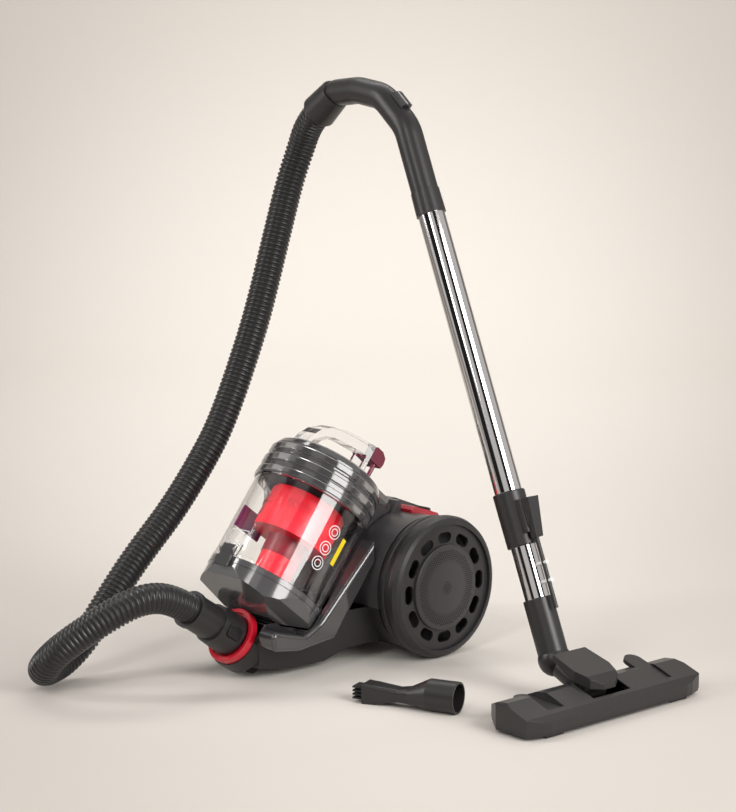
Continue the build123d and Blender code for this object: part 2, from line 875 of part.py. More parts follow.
def make_deflector_disc():
    outline = [(52, -32), (54, -32), (56, -24), (62, -14), (71, -6), (bin_inner, -4),
               (bin_inner, 0), (70, 0), (60, -9), (54, -20), (52, -26)]
    with BuildPart() as disc:
        with BuildSketch(Plane(origin=bin_centre, x_dir=(1, 0, 0), z_dir=-bin_back_dir)) as half:
            with BuildLine():
                Polyline(*outline, close=True)
            make_face()
        revolve(axis=bin_axis)
    return disc


def make_inlet_vane():
    with BuildPart() as vane:
        with BuildSketch(bin_frame.offset(port_s - 15)):
            with BuildLine():
                Polyline((-90, -48), (-56, -48), (-53, -2), (-90, -2), close=True)
            make_face()
            with BuildLine():
                Polyline((-90, -45.5), (-58.4, -45.5), (-55.8, 0), (-90, 0), close=True)
            make_face(mode=Mode.SUBTRACT)
        extrude(amount=30)
        with BuildSketch(bin_frame.offset(port_s - 15)):
            Circle(bin_inner)
        extrude(amount=30, mode=Mode.INTERSECT)
    return vane


# ---- the bin's lid ------------------------------------------------------------------------
lid_inner = 75.6
snout_low = 14.0
snout_top = 72.0


def lid_revolved(outline):
    with BuildPart() as body:
        with BuildSketch(Plane(origin=bin_centre, x_dir=(1, 0, 0), z_dir=-bin_back_dir)):
            with BuildLine():
                Polyline(*outline, close=True)
            make_face()
        revolve(axis=bin_axis)
    return body.part


def snout(inset):
    """The outlet duct on the back of the lid, shrunk by inset; it arches over the drum."""
    barrel = drum(drum_radius + 1 + inset, drum_half_width + 5)
    with BuildPart() as duct:
        with BuildSketch(bin_back(58)):
            with BuildLine():
                Polyline((-snout_half_width, snout_low), (snout_half_width, snout_low),
                         (snout_half_width, 60), (20, snout_top), (-20, snout_top),
                         (-snout_half_width, 60), close=True)
            make_face()
            offset(amount=-inset)
        extrude(amount=snout_reach - 58)
        add(barrel, mode=Mode.SUBTRACT)
    return duct.part


def make_bin_lid():
    outside = lid_revolved([(0, -2), (lid_radius, -2), (lid_radius, 14), (lid_radius - 1.2, 15.4),
                            (lid_radius - 1.2, 30), (lid_radius - 2.8, 32),
                            (lid_radius - 3.2, 46), (lid_radius - 7, 53), (70, lid_height),
                            (0, lid_height)])
    inside = lid_revolved([(0, -3), (bin_radius + seam_gap, -3), (bin_radius + seam_gap, 8),
                           (lid_inner, 8), (lid_inner, 46), (70, 53), (0, 53)])
    duct = snout(0)
    duct_room = snout(2.6)
    with BuildPart() as lid:
        add(outside)
        add(duct)
        add(inside, mode=Mode.SUBTRACT)
        add(duct_room, mode=Mode.SUBTRACT)
        with BuildSketch(bin_frame.offset(50)):
            with Locations((-8, 62), (8, 62)):
                Circle(3 + running_gap)
        extrude(amount=40, mode=Mode.SUBTRACT)
        with BuildSketch(bin_back(40)):
            with Locations((0, 40)):
                RectangleRounded(outlet_width + 10, 20, 5)
        extrude(amount=40, mode=Mode.SUBTRACT)
    return lid


def make_lid_seal():
    ring = lid_revolved([(lid_inner + 1, 6.4), (bin_radius + seam_gap, 6.4),
                         (bin_radius + seam_gap, 8), (lid_inner + 1, 8)])
    with BuildPart() as seal:
        add(ring)
    return seal


def make_lid_filter():
    with BuildPart() as foam:
        with BuildSketch(bin_frame.offset(11)):
            Circle(lid_inner)
        extrude(amount=18)
    return foam


def make_bin_handle():
    with BuildPart() as handle:
        with BuildSketch(bin_side(-13)):
            with BuildLine():
                Polyline((-68, lid_height), (-65, 64), (-54, 82), (-35, 97), (-8, 106.5),
                         (23, 113.5), (46, 117.5), (46, lid_height), (38, lid_height),
                         (38, 99), (3, 92.5), (-29, 85), (-45, 70), (-52, lid_height), close=True)
            make_face()
        extrude(amount=26)
        fillet(handle.edges().filter_by(Axis.X).sort_by(bin_axis)[4:], 2.5)
    return handle


def make_release_trigger():
    with BuildPart() as trigger:
        with BuildSketch(bin_side(-13)):
            with BuildLine():
                Polyline((46.6, 99), (46.6, 117), (50, 119), (62, 119), (71, 114), (73, 106),
                         (71, 98), close=True)
            make_face()
        extrude(amount=26)
        with BuildSketch(bin_frame.offset(62)):
            with Locations((-8, 62), (8, 62)):
                Circle(3)
        extrude(amount=40)
    return trigger


# ---- the hose and its inlet cuff ----------------------------------------------------------
hose_points = [(-3, -404, 128), (-19, -441, 112),
               (-46, -470, 86), (-76, -488, 59), (-106, -487, 33), (-129, -464, 21.5),
               (-137, -430, 26), (-135, -396, 52), (-131, -362, 96), (-128, -318, 146),
               (-124, -262, 199), (-125, -214, 252), (-128, -170, 306), (-134.4, -111, 417.7),
               (-139, -84, 478), (-143, -58, 545), (-148, -27, 622), (-138, -15, 668)]


def make_inlet_cuff():
    with BuildPart() as cuff:
        for start, end, first, last in ((-socket_depth + 1, 6, cuff_spigot_radius, cuff_spigot_radius),
                                        (inlet_ring_depth / 2 + 0.4, 42, cuff_radius, 26),
                                        (42, 80, 23, 23), (80, 86, 24.5, 24.5)):
            with BuildSketch(inlet_frame.offset(start)):
                Circle(first)
            with BuildSketch(inlet_frame.offset(end)):
                Circle(last)
            loft()
        with BuildSketch(inlet_frame.offset(-socket_depth)):
            Circle(hose_bore)
        extrude(amount=140, mode=Mode.SUBTRACT)
        with BuildSketch(inlet_frame.offset(76)):
            Circle(hose_radius + running_gap)
        extrude(amount=20, mode=Mode.SUBTRACT)
        for side in (1, -1):
            with BuildSketch(Plane(origin=inlet_centre + Vector(side * 20.5, 0, 0), x_dir=inlet_dir,
                                   z_dir=(side, 0, 0))):
                with Locations((22, 0)):
                    RectangleRounded(24.8, 16.8, 4.4)
            extrude(amount=20, mode=Mode.SUBTRACT)
    return cuff


def make_cuff_button(side):
    with BuildPart() as button:
        with BuildSketch(Plane(origin=inlet_centre + Vector(side * 23, 0, 0), x_dir=inlet_dir,
                               z_dir=(side, 0, 0))):
            with Locations((22, 0)):
                RectangleRounded(24, 16, 4)
        extrude(amount=5.4)
    return button


def make_hose():
    hose_start = inlet_centre + inlet_dir * 76.4
    hose_end = swivel_start + swivel_dir * swivel_length
    route = [hose_start, hose_start + inlet_dir * 39]
    route += [Vector(body_x + x, body_y + y, z) for x, y, z in hose_points]
    route += [hose_end + swivel_dir * 26, hose_end]
    radii = []
    for before, corner, after in zip(route, route[1:], route[2:]):
        first = corner - before
        second = after - corner
        turn_angle = radians(first.get_angle(second))
        reach = 0.45 * min(first.length, second.length)
        radii.append(reach / tan(turn_angle / 2))
    print("hose bend radii, mm:", [round(radius) for radius in radii])
    with BuildPart() as pipe:
        with BuildLine() as path:
            FilletPolyline(*route, radius=radii)
        with BuildSketch(Plane(origin=route[0], z_dir=route[1] - route[0])):
            Circle(hose_radius)
            Circle(hose_bore, mode=Mode.SUBTRACT)
        sweep()
    length = sum(edge.length for edge in path.edges())
    section = 3.14159 * (hose_radius ** 2 - hose_bore ** 2)
    print("hose length", round(length), "volume ratio", round(pipe.part.volume / section / length, 4))
    return pipe


# ---- the handle and the wand --------------------------------------------------------------
grip_points = [(-340.6, 591.8), (-386, 699), (-432, 738), (-480, 746), (-524, 742.9)]
swivel_angle = 35.4      # the hose's swivel points this far below the level, backwards
swivel_length = 44.0
swivel_bore = 13.0
swivel_dir = (head_forward * -cos(radians(swivel_angle)) - Vector(0, 0, sin(radians(swivel_angle))))
swivel_start = head_point(-527.6, 742.2)
swivel_frame = Plane(origin=swivel_start, x_dir=head_left, z_dir=swivel_dir)
slider_mid = (-409, 719)


def make_handle_grip():
    last = (-527.6 - 6 * cos(radians(swivel_angle)), 742.2 - 6 * sin(radians(swivel_angle)))
    foot = wand_frame.offset(handle_foot)
    with BuildPart() as grip:
        with BuildLine(head_side()):
            FilletPolyline(*grip_points, last, radius=[55, 50, 60, 7])
        with BuildSketch(foot):
            Circle(grip_radius)
        sweep()
        with BuildSketch(foot.offset(-4)):
            Circle(grip_radius + 1.6)
        with BuildSketch(foot.offset(28)):
            Circle(grip_radius + 0.9)
        loft()
        with BuildSketch(foot.offset(-5)):
            Circle(upper_tube_radius)
        extrude(amount=10, mode=Mode.SUBTRACT)
        with BuildSketch(swivel_frame.offset(-14)):
            Circle(grip_radius + 0.8)
        extrude(amount=14)
        with BuildSketch(swivel_frame.offset(-12)):
            Circle(swivel_bore + running_gap)
        extrude(amount=30, mode=Mode.SUBTRACT)
    return grip


def make_hose_collar():
    with BuildPart() as collar:
        with BuildSketch(swivel_frame.offset(0.4)):
            Circle(grip_radius + 3.2)
        with BuildSketch(swivel_frame.offset(swivel_length)):
            Circle(hose_radius + 4.8)
        loft()
        fillet(collar.edges().filter_by(GeomType.CIRCLE), 1.5)
        with BuildSketch(swivel_frame.offset(-11)):
            Circle(swivel_bore)
        extrude(amount=12)
        with BuildSketch(swivel_frame.offset(-11)):
            Circle(swivel_bore - 2.6)
        extrude(amount=swivel_length + 20, mode=Mode.SUBTRACT)
    return collar


def make_upper_tube():
    pipe = tube(wand_frame, telescope_foot + 16, handle_foot + 5, upper_tube_radius,
                upper_tube_radius - tube_wall)
    with BuildPart() as upper:
        add(pipe)
    return upper


def make_telescope_collar():
    with BuildPart() as collar:
        with BuildSketch(wand_frame.offset(telescope_foot)):
            Circle(20)
        with BuildSketch(wand_frame.offset(telescope_foot + telescope_length)):
            Circle(20.6)
        loft()
        fillet(collar.edges().filter_by(GeomType.CIRCLE), 1.6)
        with BuildSketch(wand_frame.offset(telescope_foot + 14)):
            with Locations((17, 0)):
                RectangleRounded(18, 22, 4)
        extrude(amount=42)
        with BuildSketch(wand_frame.offset(telescope_foot - 1)):
            Circle(lower_tube_radius + running_gap)
        extrude(amount=20, mode=Mode.SUBTRACT)
        with BuildSketch(wand_frame.offset(telescope_foot + 16)):
            Circle(upper_tube_radius)
        extrude(amount=80, mode=Mode.SUBTRACT)
        with BuildSketch(wand_frame.offset(telescope_foot + 20)):
            with Locations((24.6, 0)):
                Rectangle(9.2, 16.8)
        extrude(amount=28.8, mode=Mode.SUBTRACT)
    return collar


def make_telescope_button():
    with BuildPart() as button:
        with BuildSketch(wand_frame.offset(telescope_foot + 20.4)):
            with Locations((26.4, 0)):
                Rectangle(5.2, 16)
        extrude(amount=28)
        fillet(button.edges().filter_by(Axis(elbow_centre, head_left)).sort_by(wand_axis)[:1], 1.5)
    return button


def make_lower_tube():
    pipe = tube(wand_frame, 32, 430, lower_tube_radius, lower_tube_radius - tube_wall)
    with BuildPart() as lower:
        add(pipe)
    return lower


neck_reach = 58.0
neck_dir = (head_forward * 54 + Vector(0, 0, -24)).normalized()
neck_frame = Plane(origin=elbow_centre, x_dir=head_left, z_dir=neck_dir)
tilt_x = elbow_x + neck_dir.dot(head_forward) * neck_reach
tilt_z = elbow_z + neck_dir.Z * neck_reach


def make_neck_elbow():
    with BuildPart() as elbow:
        with Locations(elbow_centre):
            Sphere(21)
        with BuildSketch(wand_frame):
            Circle(19)
        extrude(amount=sleeve_length)
        fillet(elbow.edges().filter_by(GeomType.CIRCLE).sort_by(wand_axis)[-1], 1.5)
        with BuildSketch(wand_frame.offset(32)):
            Circle(lower_tube_radius)
        extrude(amount=100, mode=Mode.SUBTRACT)
        with BuildSketch(wand_frame):
            Circle(12)
        extrude(amount=40, mode=Mode.SUBTRACT)
        with BuildSketch(neck_frame.offset(15)):
            Circle(40)
        extrude(amount=30, mode=Mode.SUBTRACT)
        with BuildSketch(neck_frame.offset(-1)):
            Circle(12 + running_gap)
        extrude(amount=30, mode=Mode.SUBTRACT)
    return elbow


def make_neck_fork():
    with BuildPart() as fork:
        with BuildSketch(neck_frame):
            Circle(12)
        extrude(amount=20)
        with BuildSketch(neck_frame.offset(15.4)):
            Circle(16)
        extrude(amount=neck_reach - 15.4)
        with BuildSketch(head_side(-20)):
            with Locations((tilt_x, tilt_z)):
                Circle(16)
        extrude(amount=-40)
        with BuildSketch(head_side(-26)):
            with Locations((tilt_x, tilt_z)):
                Circle(5)
        extrude(amount=-52)
        with BuildSketch(neck_frame.offset(-1)):
            Circle(9)
        extrude(amount=neck_reach, mode=Mode.SUBTRACT)
    return fork


# ---- the floor head -----------------------------------------------------------------------
head_half = head_length / 2
head_profile = [(0, 7), (0, 20), (-10, 26), (-46, 38), (-62, 36), (-head_depth, 22), (-head_depth, 7)]
head_plan = [(-2, -132), (-10, -head_half), (-60, -head_half), (-head_depth, -126),
             (-head_depth, 126), (-60, head_half), (-10, head_half), (-2, 132), (0, 120), (0, -120)]


def head_shell(inset):
    reach = head_half + 10
    with BuildPart() as shell:
        with BuildSketch(head_side(-reach)):
            with BuildLine():
                Polyline(*head_profile, close=True)
            make_face()
            offset(amount=-inset)
        extrude(amount=-2 * reach)
        with BuildSketch(head_top(0)):
            with BuildLine():
                Polyline(*head_plan, close=True)
            make_face()
            offset(amount=-inset)
        extrude(amount=80, mode=Mode.INTERSECT)
        if not inset:
            chamfer(shell.faces().sort_by(Axis.Y)[0].edges().sort_by(Axis.Z)[-1], 5)
            chamfer(shell.faces().sort_by(Axis.Y)[-1].edges().sort_by(Axis.Z)[-1], 5)
    return shell.part


pedal_y = 96.0
pedal_tongue = 26.0
pedal_hinge_x = -22.0
pedal_hinge_z = 25.0
pedal_swing = 15.0
notch_half = 33.0


def head_bar(x, z, radius, y_low, y_high):
    """A round bar along the head's length."""
    with BuildPart() as bar:
        with BuildSketch(head_side(y_low)):
            with Locations((x, z)):
                Circle(radius)
        extrude(amount=y_low - y_high)
    return bar.part


def make_head_cover():
    outer = head_shell(0)
    inner = head_shell(2.4)
    with BuildPart() as ribs:
        for side in (1, -1):
            with BuildSketch(head_top(9)):
                with Locations((-52, side * pedal_y)):
                    Rectangle(75, pedal_tongue + 8)
            extrude(amount=60)
        add(outer, mode=Mode.INTERSECT)
    with BuildPart() as cover:
        add(outer)
        add(inner, mode=Mode.SUBTRACT)
        with BuildSketch(head_top(0)):
            with Locations((-head_depth / 2, 0)):
                Rectangle(head_depth - 5, head_length - 60)
        extrude(amount=12, mode=Mode.SUBTRACT)
        add(ribs.part)
        for side in (1, -1):
            with BuildSketch(head_top(0)):
                with Locations((-43.5, side * pedal_y)):
                    Rectangle(53, pedal_tongue + 1.2)
                with Locations((pedal_hinge_x - 48, side * pedal_y)):
                    Circle(pedal_tongue / 2 + 0.6)
            extrude(amount=80, mode=Mode.SUBTRACT)
            bar_low = side * pedal_y - pedal_tongue / 2 - 3
            with BuildSketch(head_side(bar_low)):
                with Locations((pedal_hinge_x, pedal_hinge_z)):
                    Circle(2 + running_gap)
            extrude(amount=-pedal_tongue - 6, mode=Mode.SUBTRACT)
        with BuildSketch(head_top(0)):
            with Locations((-56, 0)):
                Rectangle(80, 2 * notch_half)
        extrude(amount=80, mode=Mode.SUBTRACT)
    return cover


def make_head_pedal(side, angle):
    """One tongue of the floor switch, turned about its hinge by angle."""
    hinge = head_point(pedal_hinge_x, pedal_hinge_z)
    back = head_forward * -cos(radians(angle)) + Vector(0, 0, sin(radians(angle)))
    top = Plane(origin=hinge + head_left * side * pedal_y, x_dir=back, z_dir=back.cross(head_left))
    half = pedal_tongue / 2
    with BuildPart() as pedal:
        with BuildSketch(top.offset(-2)):
            with Locations((24, 0)):
                Rectangle(48, pedal_tongue)
            with Locations((48, 0)):
                Circle(half)
        extrude(amount=5)
        bar_low = side * pedal_y - half - 2.8
        with BuildSketch(head_side(bar_low)):
            with Locations((pedal_hinge_x, pedal_hinge_z)):
                Circle(2)
        extrude(amount=-pedal_tongue - 5.6)
    return pedal


roller_x = -85.0
roller_radius = 7.0


def make_head_sole():
    with BuildPart() as sole:
        with BuildSketch(head_top(4)):
            with BuildLine():
                Polyline(*head_plan, close=True)
            make_face()
            offset(amount=-0.6)
        extrude(amount=3)
        with BuildSketch(head_top(0)):
            with Locations((-10, 110), (-10, -110)):
                Rectangle(10, 30)
        extrude(amount=5)
        with BuildSketch(head_top(0)):
            with Locations((-31, 0)):
                Rectangle(14, 200)
            with Locations((-18, 0), (-44, 0)):
                Rectangle(4.8, 149)
            with Locations((roller_x, 64), (roller_x, -64)):
                Rectangle(17, 17)
        extrude(amount=20, mode=Mode.SUBTRACT)
        for y_low in (20.4, -25.4):
            with BuildSketch(head_side(y_low)):
                with Locations((tilt_x, tilt_z)):
                    Circle(9)
                with Locations((tilt_x, (tilt_z + 4) / 2)):
                    Rectangle(18, tilt_z - 4)
            extrude(amount=-5)
            with BuildSketch(head_side(y_low - 1)):
                with Locations((tilt_x, tilt_z)):
                    Circle(5 + running_gap)
            extrude(amount=-7, mode=Mode.SUBTRACT)
        for y_low in (73, -77):
            with BuildSketch(head_side(y_low)):
                with Locations((roller_x, 7)):
                    Rectangle(9, 9)
            extrude(amount=-4)
            with BuildSketch(head_side(y_low - 1)):
                with Locations((roller_x, roller_radius)):
                    Circle(2 + running_gap)
            extrude(amount=-6, mode=Mode.SUBTRACT)
        with BuildSketch(head_side(-83)):
            with Locations((roller_x, roller_radius)):
                Circle(2 + running_gap + 0.3)
        extrude(amount=-166, mode=Mode.SUBTRACT)
    return sole


def make_head_rollers():
    bar = head_bar(roller_x, roller_radius, 2, -77, 77)
    with BuildPart() as rollers:
        add(bar)
        for y_low in (57, -71):
            add(head_bar(roller_x, roller_radius, roller_radius, y_low, y_low + 14))
    return rollers


def make_head_brush():
    with BuildPart() as brush:
        with BuildSketch(head_top(0.6)):
            with Locations((-18, 0), (-44, 0)):
                Rectangle(4, 148)
        extrude(amount=13)
        with BuildSketch(head_top(10)):
            with Locations((-31, 60), (-31, -60)):
                Rectangle(26, 10)
        extrude(amount=3.6)
        with BuildSketch(head_top(10.6)):
            with Locations((-44, 0)):
                Rectangle(8, 54)
        extrude(amount=8, mode=Mode.SUBTRACT)
    return brush


def make_head_shield():
    profile = [(-17, 33), (-17, 38), (-34, 49), (-88, 66), (-90, 60), (-60, 44), (-34, 35)]
    plan = [(-89, -28), (-50, -31), (-30, -24), (-20, -10), (-20, 10), (-30, 24), (-50, 31), (-89, 28)]
    rib = tube(neck_frame, 0, neck_reach, 16, 0)
    with BuildPart() as shield:
        with BuildSketch(head_side(-40)):
            with BuildLine():
                Polyline(*profile, close=True)
            make_face()
        extrude(amount=-80)
        with BuildSketch(head_top(0)):
            with BuildLine():
                Polyline(*plan, close=True)
            make_face()
        extrude(amount=100, mode=Mode.INTERSECT)
    with BuildPart() as hollow:
        with BuildSketch(head_side(-28)):
            with BuildLine():
                Polyline((-22, 36.5), (-35, 45.6), (-95, 64.4), (-95, 20), (-22, 20), close=True)
            make_face()
        extrude(amount=-56)
        with BuildSketch(head_top(0)):
            with BuildLine():
                Polyline((-95, -25), (-50, -28.4), (-31, -21.6), (-23, -9), (-23, 9), (-31, 21.6),
                         (-50, 28.4), (-95, 25), close=True)
            make_face()
        extrude(amount=100, mode=Mode.INTERSECT)
    with BuildPart() as finished:
        add(shield.part)
        add(hollow.part, mode=Mode.SUBTRACT)
        with BuildSketch(head_side(-3)):
            with BuildLine():
                Polyline((-86, 40), (-86, 64), (-74, 60), (-74, 40), close=True)
            make_face()
        extrude(amount=-6)
        add(rib, mode=Mode.SUBTRACT)
    return finished


# ---- the brush tool on the floor ----------------------------------------------------------
tool_dir = Vector(cos(radians(tool_turn)), sin(radians(tool_turn)), 0)
tool_left = Vector(-sin(radians(tool_turn)), cos(radians(tool_turn)), 0)
tool_start = Vector(body_x + tool_x, body_y + tool_y, 0)


def tool_plane(t, z):
    return Plane(origin=tool_start + tool_dir * t + Vector(0, 0, z), x_dir=-tool_left, z_dir=tool_dir)


def make_tool_body():
    sections = [(14, 12.5, 28, 25, 3), (30, 12.5, 27, 24, 4), (60, 14.5, 24, 16, 5),
                (74, 15.5, 27, 20, 8), (100, 19.6, 39, 39, 19), (tool_length, 19.7, 39.2, 39.2, 19.5)]
    with BuildPart() as body:
        for t, z, width, height, corner in sections:
            with BuildSketch(tool_plane(t, z)):
                RectangleRounded(width, height, corner)
        loft(ruled=True)
        with BuildSketch(tool_plane(13, 12.5)):
            RectangleRounded(21.6, 16.6, 2)
        extrude(amount=27, mode=Mode.SUBTRACT)
        with BuildSketch(tool_plane(39, 14)):
            Rectangle(12, 8)
        extrude(amount=50, mode=Mode.SUBTRACT)
        with BuildSketch(tool_plane(84, 15.6)):
            Circle(6)
        with BuildSketch(tool_plane(101, 19.6)):
            Circle(17.4)
        loft(mode=Mode.SUBTRACT)
        with BuildSketch(tool_plane(101, 19.6)):
            Circle(17.4)
        extrude(amount=60, mode=Mode.SUBTRACT)
    return body


def make_tool_brush():
    with BuildPart() as brush:
        with BuildSketch(tool_plane(14, 12.5)):
            RectangleRounded(21, 16, 1.6)
        extrude(amount=4)
        with BuildSketch(tool_plane(0, 12.5)):
            with GridLocations(0, 4.6, 1, 4):
                Rectangle(20, 2)
        extrude(amount=14)
    return brush


def make_air_slider():
    start = head_point(*slider_mid)
    along = (head_forward * -46 + Vector(0, 0, 39)).normalized()
    outward = head_forward * along.Z + Vector(0, 0, -along.dot(head_forward))
    frame = Plane(origin=start, x_dir=outward, z_dir=along)
    with BuildPart() as slider:
        with BuildSketch(frame.offset(-13)):
            Circle(grip_radius + 5.2)
            Circle(grip_radius + 0.35, mode=Mode.SUBTRACT)
            with Locations((grip_radius + 2, 0)):
                Rectangle(16, 16, mode=Mode.INTERSECT)
        extrude(amount=26)
    return slider


pieces = {
    "base_tray": make_base_tray, "drum_housing": make_drum_housing,
    "outlet_gasket": make_outlet_gasket, "inlet_duct": lambda: make_duct(1),
    "side_trim": lambda: make_duct(-1), "inlet_ring": make_inlet_ring,
    "axle_left": lambda: make_axle(-1), "axle_right": lambda: make_axle(1),
    "motor": make_motor, "motor_mount": make_motor_mount, "impeller": make_impeller,
    "cord_reel": make_cord_reel, "exhaust_filter": make_exhaust_filter,
    "switch_module": make_switch_module, "cord_gland": make_cord_gland,
    "power_pedal": lambda: make_pedal(1), "rewind_pedal": lambda: make_pedal(-1),
    "tyre_left": lambda: make_tyre(-1), "tyre_right": lambda: make_tyre(1),
    "wheel_left": lambda: make_wheel(-1), "wheel_right": lambda: make_wheel(1),
    "grille_left": lambda: make_grille(-1), "grille_right": lambda: make_grille(1),
    "caster_fork": make_caster_fork, "caster_wheel": make_caster_wheel,
    "bin_cylinder": make_bin_cylinder, "flap_hinge_pin": make_flap_hinge_pin,
    "bin_flap": make_bin_flap, "flap_catch": make_flap_catch,
    "cyclone_shroud": make_cyclone_shroud, "cyclone_cup": make_cyclone_cup,
    "deflector_disc": make_deflector_disc, "inlet_vane": make_inlet_vane,
    "bin_lid": make_bin_lid, "lid_seal": make_lid_seal, "lid_filter": make_lid_filter,
    "bin_handle": make_bin_handle, "release_trigger": make_release_trigger,
    "inlet_cuff": make_inlet_cuff, "cuff_button_left": lambda: make_cuff_button(-1),
    "cuff_button_right": lambda: make_cuff_button(1), "hose": make_hose,
    "hose_collar": make_hose_collar, "handle_grip": make_handle_grip,
    "air_slider": make_air_slider, "upper_tube": make_upper_tube,
    "telescope_collar": make_telescope_collar, "telescope_button": make_telescope_button,
    "lower_tube": make_lower_tube, "neck_elbow": make_neck_elbow, "neck_fork": make_neck_fork,
    "head_shield": make_head_shield, "head_cover": make_head_cover, "head_sole": make_head_sole,
    "head_pedal_right": lambda: make_head_pedal(1, 18),
    "head_pedal_left": lambda: make_head_pedal(-1, 18 - pedal_swing),
    "head_brush": make_head_brush, "head_rollers": make_head_rollers,
    "tool_body": make_tool_body, "tool_brush": make_tool_brush,
}


for name, make in pieces.items():
    piece = make()
    save(piece, name)
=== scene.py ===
import json
from math import cos, pi, radians, sin

import bpy
from mathutils import Matrix, Vector

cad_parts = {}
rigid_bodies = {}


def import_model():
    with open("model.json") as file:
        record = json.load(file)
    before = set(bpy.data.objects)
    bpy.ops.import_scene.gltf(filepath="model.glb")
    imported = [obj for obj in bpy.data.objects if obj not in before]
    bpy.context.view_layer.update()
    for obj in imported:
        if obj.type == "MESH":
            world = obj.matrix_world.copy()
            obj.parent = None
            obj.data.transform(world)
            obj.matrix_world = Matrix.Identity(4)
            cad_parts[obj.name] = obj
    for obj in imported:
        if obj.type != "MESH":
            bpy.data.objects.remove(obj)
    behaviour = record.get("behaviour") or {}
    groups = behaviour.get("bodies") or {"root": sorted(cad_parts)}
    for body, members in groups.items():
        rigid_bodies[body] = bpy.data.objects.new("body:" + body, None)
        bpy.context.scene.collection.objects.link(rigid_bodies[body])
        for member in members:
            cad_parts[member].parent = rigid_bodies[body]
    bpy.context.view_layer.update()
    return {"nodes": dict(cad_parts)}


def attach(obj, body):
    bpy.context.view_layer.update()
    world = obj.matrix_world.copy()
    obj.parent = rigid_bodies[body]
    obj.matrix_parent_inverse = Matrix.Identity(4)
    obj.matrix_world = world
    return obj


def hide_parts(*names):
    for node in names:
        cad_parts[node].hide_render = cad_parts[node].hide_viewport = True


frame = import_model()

bl_info = {
    "name": "Canister Vacuum Dressing",
    "version": (1, 0, 0),
    "blender": (4, 5, 0),
    "location": "3D View > Sidebar > Vacuum",
    "description": "Builds the looks of a canister vacuum cleaner over its CAD parts",
    "category": "Object",
}

# ---- places and sizes ----------------------------------------------------------------------
# Metres, in the object's own frame: the floor is z = 0 and the bin's parts share one tilted axis.
BODY = Vector((-0.1715, 0.1225, 0.0))
BIN_TILT = radians(39.0)
BIN_AXIS = Vector((0.0, sin(BIN_TILT), cos(BIN_TILT)))
BIN_CENTRE = BODY + Vector((0.0, -0.1288, 0.2102))
BIN_RADIUS = 0.079
PRINT_LIFT = 0.0003       # printed marks stand this far off the bin's wall
SHROUD_RADIUS = 0.052
GRILLE_PLACE = 0.12585    # the grille's face, from the middle of the body
WHEEL_HEIGHT = 0.095
HOLDER_REACH = 0.027      # the holder rod, from the wand's axis
INLET_TILT = radians(34.0)
INLET_DIR = Vector((0.0, -cos(INLET_TILT), sin(INLET_TILT)))
INLET_CENTRE = BODY + Vector((0.0, -0.266, 0.055))
HEAD_TURN = radians(3.35)
HEAD_FORWARD = Vector((cos(HEAD_TURN), -sin(HEAD_TURN), 0.0))
HEAD_LEFT = Vector((sin(HEAD_TURN), cos(HEAD_TURN), 0.0))
HEAD_ORIGIN = BODY + Vector((0.4635, -0.0507, 0.0))
WAND_LEAN = radians(22.9)
WAND_DIR = HEAD_FORWARD * -sin(WAND_LEAN) + Vector((0.0, 0.0, cos(WAND_LEAN)))
WAND_FRONT = HEAD_FORWARD * cos(WAND_LEAN) + Vector((0.0, 0.0, sin(WAND_LEAN)))
ELBOW = HEAD_ORIGIN + HEAD_FORWARD * -0.112 + Vector((0.0, 0.0, 0.050))
SWIVEL_ANGLE = radians(35.4)
SWIVEL_DIR = HEAD_FORWARD * -cos(SWIVEL_ANGLE) - Vector((0.0, 0.0, sin(SWIVEL_ANGLE)))
SWIVEL_START = HEAD_ORIGIN + HEAD_FORWARD * -0.5276 + Vector((0.0, 0.0, 0.7422))
CAMERA_PLACE = BODY + Vector((1.98725, -1.97496, 0.74331))
CAMERA_TILT = radians(81.5)
CAMERA_TURN = radians(45.5)
CAMERA_LOOK = Vector((-sin(CAMERA_TURN) * sin(CAMERA_TILT), cos(CAMERA_TURN) * sin(CAMERA_TILT),
                      -cos(CAMERA_TILT)))
HOSE_RADIUS = 0.0195
HOSE_START = INLET_CENTRE + INLET_DIR * 0.0764
HOSE_END = SWIVEL_START + SWIVEL_DIR * 0.044
HOSE_POINTS = [
    (-0.003, -0.404, 0.128), (-0.019, -0.441, 0.112), (-0.046, -0.470, 0.086),
    (-0.076, -0.488, 0.059), (-0.106, -0.487, 0.033), (-0.129, -0.464, 0.0215),
    (-0.137, -0.430, 0.026), (-0.135, -0.396, 0.052), (-0.131, -0.362, 0.096),
    (-0.128, -0.318, 0.146), (-0.124, -0.262, 0.199), (-0.125, -0.214, 0.252),
    (-0.128, -0.170, 0.306), (-0.1344, -0.111, 0.4177), (-0.139, -0.084, 0.478),
    (-0.143, -0.058, 0.545), (-0.148, -0.027, 0.622), (-0.138, -0.015, 0.668),
]


# ---- small helpers -------------------------------------------------------------------------
def frame_matrix(origin, x_dir, z_dir):
    """The matrix whose own x and z run along the two given directions."""
    z_axis = z_dir.normalized()
    x_axis = (x_dir - z_axis * x_dir.dot(z_axis)).normalized()
    y_axis = z_axis.cross(x_axis)
    basis = Matrix((x_axis, y_axis, z_axis)).transposed().to_4x4()
    return Matrix.Translation(origin) @ basis


BIN_MATRIX = frame_matrix(BIN_CENTRE, Vector((1, 0, 0)), BIN_AXIS)


def mesh_object(name, verts, faces, smooth=True):
    """A mesh object at the origin from points and faces."""
    data = bpy.data.meshes.new(name)
    data.from_pydata([tuple(v) for v in verts], [], faces)
    data.validate()
    data.update()
    data.polygons.foreach_set("use_smooth", [smooth] * len(data.polygons))
    obj = bpy.data.objects.new(name, data)
    bpy.context.scene.collection.objects.link(obj)
    return obj


